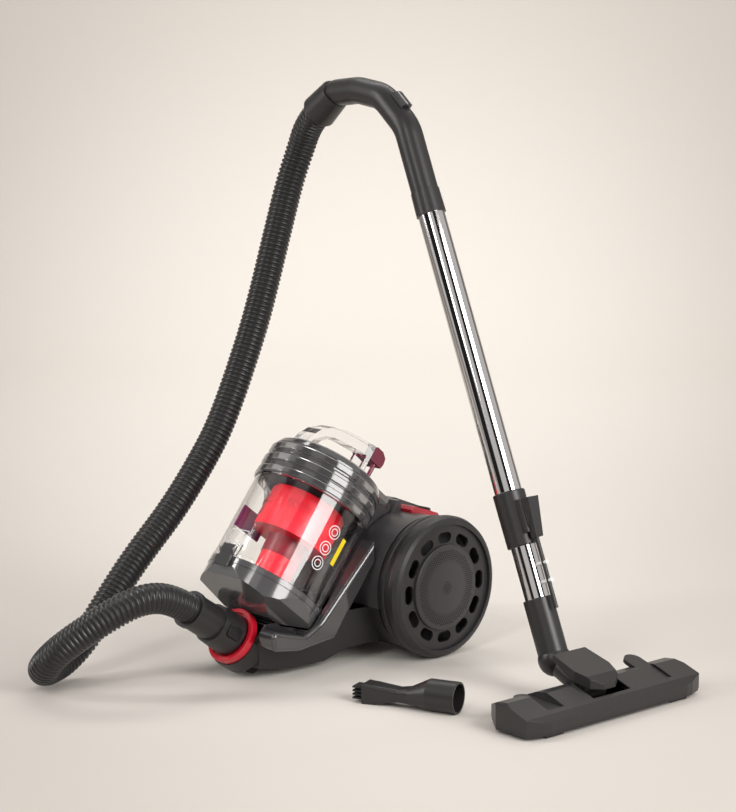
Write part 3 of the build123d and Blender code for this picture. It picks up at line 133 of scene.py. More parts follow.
def finish_piece(obj, material, body, replaced=()):
    """Gives a piece its material, its body and the nodes it stands for."""
    obj.data.materials.clear()
    obj.data.materials.append(material)
    if replaced:
        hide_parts(*replaced)
    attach(obj, body)
    return obj


def plain_mesh(obj, name):
    """Turns an object with a modifier into a plain mesh object of the same name."""
    graph = bpy.context.evaluated_depsgraph_get()
    graph.update()
    data = bpy.data.meshes.new_from_object(obj.evaluated_get(graph), depsgraph=graph)
    data.name = name
    made = bpy.data.objects.new(name, data)
    bpy.context.scene.collection.objects.link(made)
    bpy.data.objects.remove(obj)
    data.polygons.foreach_set("use_smooth", [True] * len(data.polygons))
    return made


# ---- materials -----------------------------------------------------------------------------
def new_material(name, color, rough, metallic=0.0, grain=0.0, grain_scale=900.0, wear=0.05,
                 transmission=0.0, ior=1.46, coat=0.0, bevel=0.0, alpha=1.0):
    """A procedural material: a base finish, fine grain, and cloudy handling marks."""
    mat = bpy.data.materials.new(name)
    mat.use_nodes = True
    nodes = mat.node_tree.nodes
    links = mat.node_tree.links
    bsdf = nodes["Principled BSDF"]
    bsdf.inputs["Base Color"].default_value = (*color, 1.0)
    bsdf.inputs["Metallic"].default_value = metallic
    bsdf.inputs["IOR"].default_value = ior
    bsdf.inputs["Transmission Weight"].default_value = transmission
    bsdf.inputs["Coat Weight"].default_value = coat
    bsdf.inputs["Coat Roughness"].default_value = 0.08
    bsdf.inputs["Alpha"].default_value = alpha
    coords = nodes.new("ShaderNodeTexCoord")
    marks = nodes.new("ShaderNodeTexNoise")
    marks.inputs["Scale"].default_value = 14.0
    marks.inputs["Detail"].default_value = 6.0
    links.new(coords.outputs["Object"], marks.inputs["Vector"])
    spread = nodes.new("ShaderNodeMapRange")
    spread.inputs["To Min"].default_value = max(0.0, rough - wear)
    spread.inputs["To Max"].default_value = rough + wear
    links.new(marks.outputs["Fac"], spread.inputs["Value"])
    links.new(spread.outputs["Result"], bsdf.inputs["Roughness"])
    last_normal = None
    if bevel:
        rounding = nodes.new("ShaderNodeBevel")
        rounding.samples = 4
        rounding.inputs["Radius"].default_value = bevel
        last_normal = rounding.outputs["Normal"]
    if grain:
        noise = nodes.new("ShaderNodeTexNoise")
        noise.inputs["Scale"].default_value = grain_scale
        noise.inputs["Detail"].default_value = 3.0
        links.new(coords.outputs["Object"], noise.inputs["Vector"])
        bump = nodes.new("ShaderNodeBump")
        bump.inputs["Strength"].default_value = grain
        bump.inputs["Distance"].default_value = 0.0004
        links.new(noise.outputs["Fac"], bump.inputs["Height"])
        if last_normal:
            links.new(last_normal, bump.inputs["Normal"])
        last_normal = bump.outputs["Normal"]
    if last_normal:
        links.new(last_normal, bsdf.inputs["Normal"])
    return mat


def pass_light(mat, tint):
    """Lets light through a clear part, so that what lies behind it is lit."""
    nodes = mat.node_tree.nodes
    links = mat.node_tree.links
    clear = nodes.new("ShaderNodeBsdfTransparent")
    clear.inputs["Color"].default_value = (*tint, 1.0)
    path = nodes.new("ShaderNodeLightPath")
    mix = nodes.new("ShaderNodeMixShader")
    links.new(path.outputs["Is Shadow Ray"], mix.inputs[0])
    links.new(nodes["Principled BSDF"].outputs[0], mix.inputs[1])
    links.new(clear.outputs[0], mix.inputs[2])
    links.new(mix.outputs[0], nodes["Material Output"].inputs["Surface"])


def make_materials():
    made = {
        "black": new_material("black plastic", (0.019, 0.0175, 0.018), 0.36, grain=0.12, bevel=0.0009),
        "gloss_black": new_material("gloss black", (0.02, 0.019, 0.02), 0.16, coat=0.4, bevel=0.0009),
        "grey": new_material("dark metallic grey", (0.075, 0.073, 0.076), 0.32, metallic=0.3, grain=0.08,
                             grain_scale=1800.0, bevel=0.0012),
        "hub": new_material("hub grey", (0.026, 0.025, 0.026), 0.34, metallic=0.1, grain=0.08,
                            bevel=0.0009),
        "mesh": new_material("grille grey", (0.045, 0.043, 0.045), 0.45, metallic=0.2),
        # painted shade: near-black for the shaded cavity seen through the grille's holes
        "hole": new_material("dark hole", (0.006, 0.006, 0.006), 0.7),
        "tyre": new_material("tyre rubber", (0.020, 0.019, 0.020), 0.42, grain=0.2, bevel=0.001),
        "rubber": new_material("rubber", (0.02, 0.02, 0.02), 0.6, grain=0.2),
        "clear": new_material("clear plastic", (0.985, 0.985, 0.985), 0.03, transmission=1.0, wear=0.02),
        "handle": new_material("clear handle", (0.975, 0.98, 0.985), 0.05, transmission=1.0, wear=0.02,
                               bevel=0.0008),
        "smoke": new_material("smoked plastic", (0.055, 0.052, 0.055), 0.09, transmission=0.25,
                              wear=0.03, coat=0.8, bevel=0.001),
        "lid": new_material("smoked lid plastic", (0.075, 0.072, 0.075), 0.10, transmission=0.3,
                            wear=0.03, coat=0.9, bevel=0.001),
        "flap": new_material("smoked flap plastic", (0.10, 0.098, 0.102), 0.12, transmission=0.2,
                             wear=0.03, coat=0.8, bevel=0.001),
        "cone": new_material("clear cone plastic", (0.92, 0.86, 0.88), 0.05, transmission=1.0,
                             ior=1.12, wear=0.02),
        "red": new_material("red plastic", (0.50, 0.008, 0.022), 0.2, coat=0.5, bevel=0.0008),
        "bright_red": new_material("bright red plastic", (0.80, 0.004, 0.022), 0.34, wear=0.03),
        # painted shade: a darker copy of the bright red, for the cup just under the shroud's rim and for
        # the mesh window's perforations
        "shade_red": new_material("deep red plastic", (0.20, 0.003, 0.012), 0.34, wear=0.03),
        "trigger": new_material("dark ruby plastic", (0.22, 0.012, 0.05), 0.14, coat=0.6,
                                transmission=0.2, bevel=0.0006),
        "red_clear": new_material("red clear plastic", (0.55, 0.02, 0.04), 0.1, transmission=0.3,
                                  wear=0.03, coat=0.5, bevel=0.0008),
        "purple": new_material("purple plastic", (0.16, 0.02, 0.09), 0.3, coat=0.2),
        "foam": new_material("foam", (0.10, 0.10, 0.11), 0.9, grain=0.8, grain_scale=500.0),
        "steel": new_material("steel", (0.55, 0.55, 0.55), 0.3, metallic=1.0),
        "chrome": new_material("chrome", (0.60, 0.59, 0.59), 0.07, metallic=1.0, wear=0.03),
        "hose": new_material("hose plastic", (0.015, 0.0145, 0.015), 0.30, grain=0.06),
        "bristle": new_material("bristle", (0.012, 0.012, 0.012), 0.7, grain=0.6),
        "white_mark": new_material("white print", (0.72, 0.73, 0.74), 0.5),
        "yellow_mark": new_material("yellow print", (0.80, 0.62, 0.02), 0.5),
    }
    pass_light(made["clear"], (0.97, 0.97, 0.97))
    pass_light(made["handle"], (0.95, 0.95, 0.95))
    pass_light(made["cone"], (0.8, 0.72, 0.75))
    return made


NODE_FINISH = {
    "base_tray": "black", "drum_housing": "grey", "outlet_gasket": "rubber", "inlet_duct": "smoke",
    "side_trim": "smoke", "inlet_ring": "red", "axle_left": "steel", "axle_right": "steel",
    "motor": "hub", "motor_mount": "black", "impeller": "black", "cord_reel": "black",
    "exhaust_filter": "foam", "switch_module": "black", "cord_gland": "rubber",
    "power_pedal": "red_clear", "rewind_pedal": "red_clear", "tyre_left": "tyre",
    "tyre_right": "tyre", "wheel_left": "hub", "wheel_right": "hub", "grille_left": "mesh",
    "grille_right": "mesh", "caster_fork": "black", "caster_wheel": "rubber",
    "bin_cylinder": "clear", "flap_hinge_pin": "steel", "bin_flap": "flap",
    "flap_catch": "gloss_black", "cyclone_shroud": "bright_red", "cyclone_cup": "bright_red",
    "deflector_disc": "cone", "inlet_vane": "purple", "bin_lid": "lid", "lid_seal": "rubber",
    "lid_filter": "foam", "bin_handle": "handle", "release_trigger": "trigger",
    "inlet_cuff": "black",
    "cuff_button_left": "gloss_black", "cuff_button_right": "gloss_black",
    "hose_collar": "black", "handle_grip": "black", "air_slider": "gloss_black",
    "upper_tube": "chrome", "telescope_collar": "black", "telescope_button": "gloss_black",
    "lower_tube": "chrome", "neck_elbow": "black", "neck_fork": "black", "head_shield": "black",
    "head_cover": "black", "head_sole": "black", "head_pedal_right": "black",
    "head_pedal_left": "black", "head_brush": "bristle", "head_rollers": "rubber",
    "tool_body": "black", "tool_brush": "bristle",
}
MATERIALS = {}


def paint_nodes():
    """Gives each CAD node that stays in view its finish."""
    for name, finish in NODE_FINISH.items():
        node = frame["nodes"][name]
        if not node.material_slots:
            node.data.materials.append(MATERIALS[finish])
        for slot in node.material_slots:
            slot.link = "OBJECT"
            slot.material = MATERIALS[finish]


# ---- geometry nodes ------------------------------------------------------------------------
class Graph:
    """A geometry node group under construction."""

    def __init__(self, name, inputs):
        self.tree = bpy.data.node_groups.new(name, "GeometryNodeTree")
        face = self.tree.interface
        face.new_socket("Geometry", in_out="INPUT", socket_type="NodeSocketGeometry")
        self.ids = {}
        for label, kind, value in inputs:
            socket = face.new_socket(label, in_out="INPUT", socket_type=kind)
            if value is not None:
                socket.default_value = value
            self.ids[label] = socket.identifier
        face.new_socket("Geometry", in_out="OUTPUT", socket_type="NodeSocketGeometry")
        self.source = self.tree.nodes.new("NodeGroupInput")
        self.sink = self.tree.nodes.new("NodeGroupOutput")

    def node(self, kind, values=None, **settings):
        made = self.tree.nodes.new(kind)
        for key, value in settings.items():
            setattr(made, key, value)
        for key, value in (values or {}).items():
            if hasattr(value, "is_output"):
                self.tree.links.new(value, made.inputs[key])
            else:
                made.inputs[key].default_value = value
        return made

    def math(self, operation, first, second=0.0):
        return self.node("ShaderNodeMath", {0: first, 1: second}, operation=operation).outputs[0]

    def end(self, geometry):
        """Realizes instances, sets the material and closes the group."""
        real = self.node("GeometryNodeRealizeInstances", {0: geometry})
        painted = self.node("GeometryNodeSetMaterial", {"Geometry": real.outputs[0],
                                                        "Material": self.source.outputs["Material"]})
        self.tree.links.new(painted.outputs[0], self.sink.inputs[0])


def run_graph(graph, host, values, name):
    """Applies a node group to a host object and returns the plain mesh it makes."""
    modifier = host.modifiers.new("build", "NODES")
    modifier.node_group = graph.tree
    for label, value in values.items():
        modifier[graph.ids[label]] = value
    host.update_tag()
    bpy.context.view_layer.update()
    return plain_mesh(host, name)


def hose_graph():
    """A ribbed tube that follows the host curve: its radius swells once for each rib."""
    g = Graph("ribbed hose", [("Radius", "NodeSocketFloat", 0.019), ("Pitch", "NodeSocketFloat", 0.006),
                              ("Depth", "NodeSocketFloat", 0.0015), ("Steps", "NodeSocketInt", 8),
                              ("Material", "NodeSocketMaterial", None)])
    source = g.source.outputs
    step = g.math("DIVIDE", source["Pitch"], source["Steps"])
    even = g.node("GeometryNodeResampleCurve", {"Curve": source["Geometry"]}, mode="LENGTH")
    g.tree.links.new(step, next(i for i in even.inputs if i.name == "Length"))
    along = g.node("GeometryNodeSplineParameter").outputs["Length"]
    phase = g.math("MULTIPLY", g.math("DIVIDE", along, source["Pitch"]), 2 * pi)
    wave = g.math("SINE", phase)
    ridge = g.math("SUBTRACT", 1.0, g.math("POWER", g.math("ABSOLUTE", g.math(
        "MULTIPLY", g.math("SUBTRACT", wave, 1.0), 0.5)), 2.2))
    low = g.math("SUBTRACT", source["Radius"], source["Depth"])
    radius = g.math("ADD", low, g.math("MULTIPLY", ridge, source["Depth"]))
    ring = g.node("GeometryNodeCurvePrimitiveCircle", {"Resolution": 40, "Radius": 1.0})
    sized = g.node("GeometryNodeSetCurveRadius", {"Curve": even.outputs[0], "Radius": radius})
    tube = g.node("GeometryNodeCurveToMesh", {"Curve": sized.outputs[0],
                                              "Profile Curve": ring.outputs[0], "Fill Caps": True})
    if "Scale" in tube.inputs:
        g.tree.links.new(radius, tube.inputs["Scale"])
    g.end(tube.outputs[0])
    return g


def nurbs_route(name, points):
    """A smooth curve that starts and ends at the first and the last point."""
    data = bpy.data.curves.new(name, "CURVE")
    data.dimensions = "3D"
    data.resolution_u = 24
    spline = data.splines.new("NURBS")
    spline.points.add(len(points) - 1)
    for place, point in zip(spline.points, points):
        place.co = (*point, 1.0)
    spline.order_u = 3
    spline.use_endpoint_u = True
    obj = bpy.data.objects.new(name, data)
    bpy.context.scene.collection.objects.link(obj)
    return obj


def route_points(curve):
    """The points that the smooth curve passes through, in order."""
    graph = bpy.context.evaluated_depsgraph_get()
    graph.update()
    data = bpy.data.meshes.new_from_object(curve.evaluated_get(graph), depsgraph=graph)
    points = [v.co.copy() for v in data.vertices]
    bpy.data.meshes.remove(data)
    return points


def build_hose(settings):
    route = [HOSE_START, HOSE_START + INLET_DIR * 0.039]
    route += [BODY + Vector(point) for point in HOSE_POINTS]
    route += [HOSE_END + SWIVEL_DIR * 0.026, HOSE_END]
    curve = nurbs_route("hose route", route)
    points = route_points(curve)
    graph = hose_graph()
    hose = run_graph(graph, curve, {"Radius": HOSE_RADIUS, "Pitch": settings.pitch,
                                    "Depth": settings.depth, "Steps": 8,
                                    "Material": MATERIALS["hose"]}, "ribbed_hose")
    finish_piece(hose, MATERIALS["hose"], "chassis", ["hose"])


def dot_graph():
    """Small round holes in a hexagonal pattern over a shallow dome."""
    g = Graph("grille holes", [("Reach", "NodeSocketFloat", 0.052), ("Pitch", "NodeSocketFloat", 0.0036),
                               ("Hole", "NodeSocketFloat", 0.0012), ("Dome", "NodeSocketFloat", 0.0022),
                               ("Material", "NodeSocketMaterial", None)])
    source = g.source.outputs
    count = 34
    width = g.math("MULTIPLY", source["Pitch"], count - 1.0)
    grid = g.node("GeometryNodeMeshGrid", {"Size X": width, "Size Y": g.math("MULTIPLY", width, 0.866),
                                           "Vertices X": count, "Vertices Y": count})
    index = g.node("GeometryNodeInputIndex").outputs[0]
    row = g.math("MODULO", index, float(count))
    odd = g.math("MODULO", row, 2.0)
    shift = g.math("MULTIPLY", g.math("MULTIPLY", odd, source["Pitch"]), 0.5)
    place = g.node("GeometryNodeInputPosition").outputs[0]
    parts = g.node("ShaderNodeSeparateXYZ", {0: place})
    x = g.math("ADD", parts.outputs[0], shift)
    y = parts.outputs[1]
    square = g.math("ADD", g.math("MULTIPLY", x, x), g.math("MULTIPLY", y, y))
    away = g.math("SQRT", square)
    lift = g.math("MULTIPLY", g.math("SUBTRACT", 1.0, g.math("DIVIDE", away, source["Reach"])),
                  source["Dome"])
    joined = g.node("ShaderNodeCombineXYZ", {0: x, 1: y, 2: lift})
    moved = g.node("GeometryNodeSetPosition", {"Geometry": grid.outputs[0],
                                               "Position": joined.outputs[0]})
    points = g.node("GeometryNodeMeshToPoints", {"Mesh": moved.outputs[0]})
    place_again = g.node("ShaderNodeSeparateXYZ", {0: g.node("GeometryNodeInputPosition").outputs[0]})
    far = g.math("SQRT", g.math("ADD", g.math("MULTIPLY", place_again.outputs[0], place_again.outputs[0]),
                                g.math("MULTIPLY", place_again.outputs[1], place_again.outputs[1])))
    outside = g.node("FunctionNodeCompare", {0: far, 1: source["Reach"]}, operation="GREATER_THAN")
    kept = g.node("GeometryNodeDeleteGeometry", {"Geometry": points.outputs[0],
                                                 "Selection": outside.outputs[0]})
    disc = g.node("GeometryNodeMeshCircle", {"Vertices": 8, "Radius": source["Hole"]}, fill_type="NGON")
    spread = g.node("GeometryNodeInstanceOnPoints", {"Points": kept.outputs[0],
                                                     "Instance": disc.outputs[0]})
    g.end(spread.outputs[0])
    return g


def build_grilles(settings):
    graph = dot_graph()
    for side, name in ((1, "right"), (-1, "left")):
        host = mesh_object("grille holes " + name, [(0, 0, 0)], [])
        # painted shade: the near-black discs stand for the grille's holes and the shade inside them
        holes = run_graph(graph, host, {"Reach": 0.0505, "Pitch": settings.grille_pitch,
                                        "Hole": 0.0012, "Dome": 0.0019,
                                        "Material": MATERIALS["hole"]}, "grille_holes_" + name)
        place = frame_matrix(BODY + Vector((side * GRILLE_PLACE, 0, WHEEL_HEIGHT)), Vector((0, side, 0)),
                             Vector((side, 0, 0)))
        holes.data.transform(place)
        finish_piece(holes, MATERIALS["hole"], name + "_wheel")


def turned(name, outline, matrix, steps=96):
    """A round skin: an outline of (radius, height) pairs turned about the matrix's own z."""
    verts = []
    faces = []
    for (r_low, z_low), (r_high, z_high) in zip(outline, outline[1:]):
        base = len(verts)
        for i in range(steps):
            angle = 2 * pi * i / steps
            for radius, height in ((r_low, z_low), (r_high, z_high)):
                verts.append(matrix @ Vector((radius * sin(angle), radius * cos(angle), height)))
        for i in range(steps):
            j = (i + 1) % steps
            faces.append((base + 2 * i, base + 2 * j, base + 2 * j + 1, base + 2 * i + 1))
    return mesh_object(name, verts, faces)


def build_cyclone(settings):
    """The red cyclone inside the bin: a plain round shroud with a fine mesh window. The darker red band on
    the cup under the shroud's rim and the window's darker red dots are painted shade.
    """
    shroud = turned("shroud_skin", [(0.028, -0.062), (SHROUD_RADIUS, -0.062), (SHROUD_RADIUS, -0.004),
                                    (0.050, -0.004), (0.050, -0.060), (0.028, -0.060)], BIN_MATRIX)
    finish_piece(shroud, MATERIALS["bright_red"], "bin", ["cyclone_shroud"])
    # painted shade: a darker red band on the cup just under the shroud's rim
    band = turned("cup_band", [(0.0274, -0.0625), (0.0283, -0.0625), (0.0272, -0.088),
                               (0.0262, -0.088)], BIN_MATRIX)
    finish_piece(band, MATERIALS["shade_red"], "bin")
    # painted shade: darker red dots stand for the shaded perforations of the mesh window
    graph = window_graph()
    for number, angle in enumerate((142, 218, 38)):
        host = mesh_object("window host", [(0, 0, 0)], [])
        dots = run_graph(graph, host, {"Radius": SHROUD_RADIUS + 0.0001, "Turn": radians(angle),
                                       "Height": -0.0345, "Pitch": settings.window_pitch,
                                       "Dot": 0.0007,
                                       "Material": MATERIALS["shade_red"]}, "mesh_window_%d" % number)
        dots.data.transform(BIN_MATRIX)
        finish_piece(dots, MATERIALS["shade_red"], "bin")


def window_graph():
    """Rows of small beads laid on a round wall, every second row shifted by half a pitch."""
    g = Graph("mesh window", [("Radius", "NodeSocketFloat", 0.052), ("Turn", "NodeSocketFloat", 0.0),
                              ("Height", "NodeSocketFloat", 0.0), ("Pitch", "NodeSocketFloat", 0.0026),
                              ("Dot", "NodeSocketFloat", 0.0008), ("Material", "NodeSocketMaterial", None)])
    source = g.source.outputs
    grid = g.node("GeometryNodeMeshGrid", {"Size X": g.math("MULTIPLY", source["Pitch"], 12.0),
                                           "Size Y": g.math("MULTIPLY", source["Pitch"], 10.4),
                                           "Vertices X": 13, "Vertices Y": 13})
    parts = g.node("ShaderNodeSeparateXYZ", {0: g.node("GeometryNodeInputPosition").outputs[0]})
    odd = g.math("MODULO", g.node("GeometryNodeInputIndex").outputs[0], 2.0)
    shifted = g.math("ADD", parts.outputs[0], g.math("MULTIPLY", g.math("MULTIPLY", odd, 0.5),
                                                     source["Pitch"]))
    angle = g.math("ADD", source["Turn"], g.math("DIVIDE", shifted, source["Radius"]))
    x = g.math("MULTIPLY", source["Radius"], g.math("SINE", angle))
    y = g.math("MULTIPLY", source["Radius"], g.math("COSINE", angle))
    z = g.math("ADD", parts.outputs[1], source["Height"])
    joined = g.node("ShaderNodeCombineXYZ", {0: x, 1: y, 2: z})
    moved = g.node("GeometryNodeSetPosition", {"Geometry": grid.outputs[0], "Position": joined.outputs[0]})
    points = g.node("GeometryNodeMeshToPoints", {"Mesh": moved.outputs[0]})
    bead = g.node("GeometryNodeMeshIcoSphere", {"Radius": source["Dot"], "Subdivisions": 1})
    spread = g.node("GeometryNodeInstanceOnPoints", {"Points": points.outputs[0],
                                                     "Instance": bead.outputs[0]})
    g.end(spread.outputs[0])
    return g


def build_lid(settings):
    """The raised bands round the lid."""
    for number, (radius, low, high) in enumerate(((0.0826, 0.000, 0.0085), (0.0822, 0.0165, 0.0265),
                                                  (0.0805, 0.0345, 0.0435))):
        skin = turned("lid_band_%d" % number, [(radius - 0.004, low - 0.001), (radius - 0.0008, low),
                                               (radius, low + 0.0012), (radius, high - 0.0012),
                                               (radius - 0.0008, high), (radius - 0.004, high + 0.001)],
                      BIN_MATRIX)
        finish_piece(skin, MATERIALS["lid"], "lid")


def build_prints(settings):
    """The printed marks on the clear bin: three rings, a plain label outline and a yellow strip."""
    for number, (angle, height) in enumerate(((96, -0.038), (97, -0.062), (97, -0.084))):
        ring_on_bin("print_ring_%d" % number, radians(angle), height, 0.0092, 0.0080,
                    MATERIALS["white_mark"])
        ring_on_bin("print_dot_%d" % number, radians(angle), height, 0.0052, 0.0040,
                    MATERIALS["white_mark"])
    for low, high in ((-0.090, -0.089), (-0.108, -0.107)):
        band_on_bin("label_line_%d" % round(-low * 1000), radians(171), radians(196), low, high,
                    MATERIALS["white_mark"])
    for left in (170.4, 195.6):
        band_on_bin("label_side_%d" % left, radians(left), radians(left + 0.8), -0.108, -0.089,
                    MATERIALS["white_mark"])
    band_on_bin("yellow_strip", radians(77), radians(83), -0.074, -0.036, MATERIALS["yellow_mark"])


def rod(name, start, end, radius, steps=20):
    """A closed round bar between two points."""
    place = frame_matrix(start, Vector((0.3, 1, 0)), end - start)
    length = (end - start).length
    return turned(name, [(0.0, 0.0), (radius, 0.0), (radius, length), (0.0, length)], place, steps)


def build_wand(settings):
    """The holder rod in front of the lower tube, its lever and its two clips."""
    out = WAND_FRONT * HOLDER_REACH
    start = ELBOW + WAND_DIR * 0.060 + out
    bar = rod("holder_rod", start, ELBOW + WAND_DIR * 0.190 + out, 0.0028)
    finish_piece(bar, MATERIALS["hub"], "lower_wand")
    for number, along in enumerate((0.095, 0.118)):
        middle = ELBOW + WAND_DIR * along
        clip = rod("holder_clip_%d" % number, middle + WAND_FRONT * 0.015, middle + WAND_FRONT * 0.033,
                   0.0024)
        finish_piece(clip, MATERIALS["white_mark"], "lower_wand")
    lever = []
    for along, near, far, half in ((0.150, 0.024, 0.033, 0.006), (0.200, 0.024, 0.040, 0.009)):
        middle = ELBOW + WAND_DIR * along
        for reach, side in ((near, -half), (far, -half), (far, half), (near, half)):
            lever.append(middle + WAND_FRONT * reach + HEAD_LEFT * side)
    faces = [(0, 1, 2, 3), (7, 6, 5, 4), (0, 4, 5, 1), (1, 5, 6, 2), (2, 6, 7, 3), (3, 7, 4, 0)]
    wedge = mesh_object("holder_lever", lever, faces, smooth=False)
    finish_piece(wedge, MATERIALS["hub"], "handle")


def ring_on_bin(name, angle, height, outer, inner, material, steps=40):
    """A flat printed ring on the bin's wall."""
    verts = []
    for radius in (outer, inner):
        for i in range(steps):
            turn = 2 * pi * i / steps
            at = angle + radius * sin(turn) / BIN_RADIUS
            verts.append(BIN_MATRIX @ Vector(((BIN_RADIUS + PRINT_LIFT) * sin(at),
                                              (BIN_RADIUS + PRINT_LIFT) * cos(at),
                                              height + radius * cos(turn))))
    faces = []
    for i in range(steps):
        j = (i + 1) % steps
        faces.append((i, j, steps + j, steps + i))
    obj = mesh_object(name, verts, faces)
    return finish_piece(obj, material, "bin")


def band_on_bin(name, angle_low, angle_high, height_low, height_high, material, steps=16):
    """A plain printed patch on the bin's wall."""
    verts = []
    for height in (height_low, height_high):
        for i in range(steps + 1):
            at = angle_low + (angle_high - angle_low) * i / steps
            verts.append(BIN_MATRIX @ Vector(((BIN_RADIUS + PRINT_LIFT) * sin(at),
                                              (BIN_RADIUS + PRINT_LIFT) * cos(at), height)))
    row = steps + 1
    faces = [(i, i + 1, row + i + 1, row + i) for i in range(steps)]
    obj = mesh_object(name, verts, faces)
    return finish_piece(obj, material, "bin")


# ---- the stage, the lights and the camera --------------------------------------------------
def area_light(name, place, target, size, power, color=(1.0, 0.985, 0.96)):
    data = bpy.data.lights.new(name, "AREA")
    data.shape = "RECTANGLE"
    data.size = size[0]
    data.size_y = size[1]
    data.energy = power
    data.color = color
    lamp = bpy.data.objects.new(name, data)
    lamp.location = place
    lamp.rotation_euler = (Vector(target) - Vector(place)).to_track_quat("-Z", "Y").to_euler()
    bpy.context.scene.collection.objects.link(lamp)
    return lamp


def backdrop_material():
    """A pale sheet with a painted pool of light: its colour is brightest in the middle of the picture and
    darker towards the edges.
    """
    mat = new_material("studio sheet", (0.9, 0.85, 0.8), 0.85, wear=0.02)
    nodes = mat.node_tree.nodes
    links = mat.node_tree.links
    coords = nodes.new("ShaderNodeTexCoord")
    offset = nodes.new("ShaderNodeVectorMath")
    offset.operation = "SUBTRACT"
    offset.inputs[1].default_value = CAMERA_PLACE
    links.new(coords.outputs["Object"], offset.inputs[0])
    across = nodes.new("ShaderNodeVectorMath")
    across.operation = "CROSS_PRODUCT"
    across.inputs[1].default_value = CAMERA_LOOK
    links.new(offset.outputs[0], across.inputs[0])
    size = nodes.new("ShaderNodeVectorMath")
    size.operation = "LENGTH"
    links.new(across.outputs[0], size.inputs[0])
    depth = nodes.new("ShaderNodeVectorMath")
    depth.operation = "DOT_PRODUCT"
    depth.inputs[1].default_value = CAMERA_LOOK
    links.new(offset.outputs[0], depth.inputs[0])
    ratio = nodes.new("ShaderNodeMath")
    ratio.operation = "DIVIDE"
    links.new(size.outputs["Value"], ratio.inputs[0])
    links.new(depth.outputs["Value"], ratio.inputs[1])
    # painted light: distance off the camera's line of sight blends the sheet from the lighter colour in the
    # middle to the darker one at the edges
    painted_light_falloff = nodes.new("ShaderNodeMapRange")
    painted_light_falloff.interpolation_type = "SMOOTHSTEP"
    painted_light_falloff.inputs["From Min"].default_value = 0.05
    painted_light_falloff.inputs["From Max"].default_value = 0.27
    links.new(ratio.outputs[0], painted_light_falloff.inputs["Value"])
    mix = nodes.new("ShaderNodeMix")
    mix.data_type = "RGBA"
    colors = [socket for socket in mix.inputs if socket.type == "RGBA"]
    colors[0].default_value = (0.74, 0.705, 0.66, 1.0)
    colors[1].default_value = (0.515, 0.478, 0.448, 1.0)
    links.new(painted_light_falloff.outputs["Result"], mix.inputs[0])
    result = next(socket for socket in mix.outputs if socket.type == "RGBA")
    links.new(result, nodes["Principled BSDF"].inputs["Base Color"])
    nodes["Principled BSDF"].inputs["Specular IOR Level"].default_value = 0.1
    return mat


def build_sheet():
    """A seamless sheet: a flat floor that curves up into a wall behind the object."""
    away = Vector((CAMERA_LOOK.x, CAMERA_LOOK.y, 0)).normalized()
    side = Vector((away.y, -away.x, 0))
    profile = [(-9.0, 0.0), (3.0, 0.0)]
    profile += [(3.0 + 2.0 * sin(radians(a)), 2.0 - 2.0 * cos(radians(a))) for a in range(5, 91, 5)]
    profile += [(5.0, 7.0)]
    verts = []
    for reach, height in profile:
        for wide in (-10.0, 10.0):
            verts.append(away * reach + side * wide + Vector((0, 0, height)))
    faces = [(2 * i, 2 * i + 1, 2 * i + 3, 2 * i + 2) for i in range(len(profile) - 1)]
    sheet = mesh_object("sheet", verts, faces)
    sheet.data.materials.append(backdrop_material())


def build_sky(scene, strength):
    """Even pale light all round, with two dark upright bands that bright metal mirrors."""
    world = bpy.data.worlds.new("studio")
    scene.world = world
    world.use_nodes = True
    nodes = world.node_tree.nodes
    links = world.node_tree.links
    back = nodes["Background"]
    back.inputs["Strength"].default_value = strength
    coords = nodes.new("ShaderNodeTexCoord")
    parts = nodes.new("ShaderNodeSeparateXYZ")
    links.new(coords.outputs["Object"], parts.inputs[0])
    turn = nodes.new("ShaderNodeMath")
    turn.operation = "ARCTAN2"
    links.new(parts.outputs[1], turn.inputs[0])
    links.new(parts.outputs[0], turn.inputs[1])
    ramp = nodes.new("ShaderNodeValToRGB")
    span = nodes.new("ShaderNodeMapRange")
    span.inputs["From Min"].default_value = -pi
    span.inputs["From Max"].default_value = pi
    links.new(turn.outputs[0], span.inputs["Value"])
    links.new(span.outputs["Result"], ramp.inputs["Fac"])
    pale = (1.0, 0.975, 0.95, 1.0)
    dark = (0.03, 0.028, 0.028, 1.0)
    ramp.color_ramp.elements[0].position = 0.0
    ramp.color_ramp.elements[0].color = pale
    ramp.color_ramp.elements[1].position = 1.0
    ramp.color_ramp.elements[1].color = pale
    for start, end in ((-112.0, -82.0), (-38.0, -14.0)):
        for angle, color in ((start - 4, pale), (start, dark), (end, dark), (end + 4, pale)):
            ramp.color_ramp.elements.new((angle + 180.0) / 360.0).color = color
    links.new(ramp.outputs["Color"], back.inputs["Color"])


def build_stage(settings):
    scene = bpy.context.scene
    build_sheet()
    build_sky(scene, settings.sky)
    area_light("key", (2.05, 0.06, 1.15), (-0.17, 0.1, 0.15), (1.0, 1.5), 46.0)
    area_light("strip", (-1.5, -2.0, 1.5), (0, 0, 0.2), (0.35, 1.8), 26.0)
    area_light("front", (0.7, -2.3, 1.9), (0, 0, 0.1), (0.5, 1.4), 16.0)
    area_light("wall", (-1.6, 1.8, 3.8), (-3.4, 3.3, 0.6), (3.5, 2.0), 125.0)
    camera_data = bpy.data.cameras.new("camera")
    camera_data.lens = 93.1
    camera_data.sensor_width = 36.0
    camera_data.clip_end = 50.0
    camera = bpy.data.objects.new("camera", camera_data)
    camera.location = CAMERA_PLACE
    camera.rotation_euler = (CAMERA_TILT, 0.0, CAMERA_TURN)
    scene.collection.objects.link(camera)
    scene.camera = camera
    scene.view_settings.view_transform = "Standard"
    scene.view_settings.exposure = settings.exposure


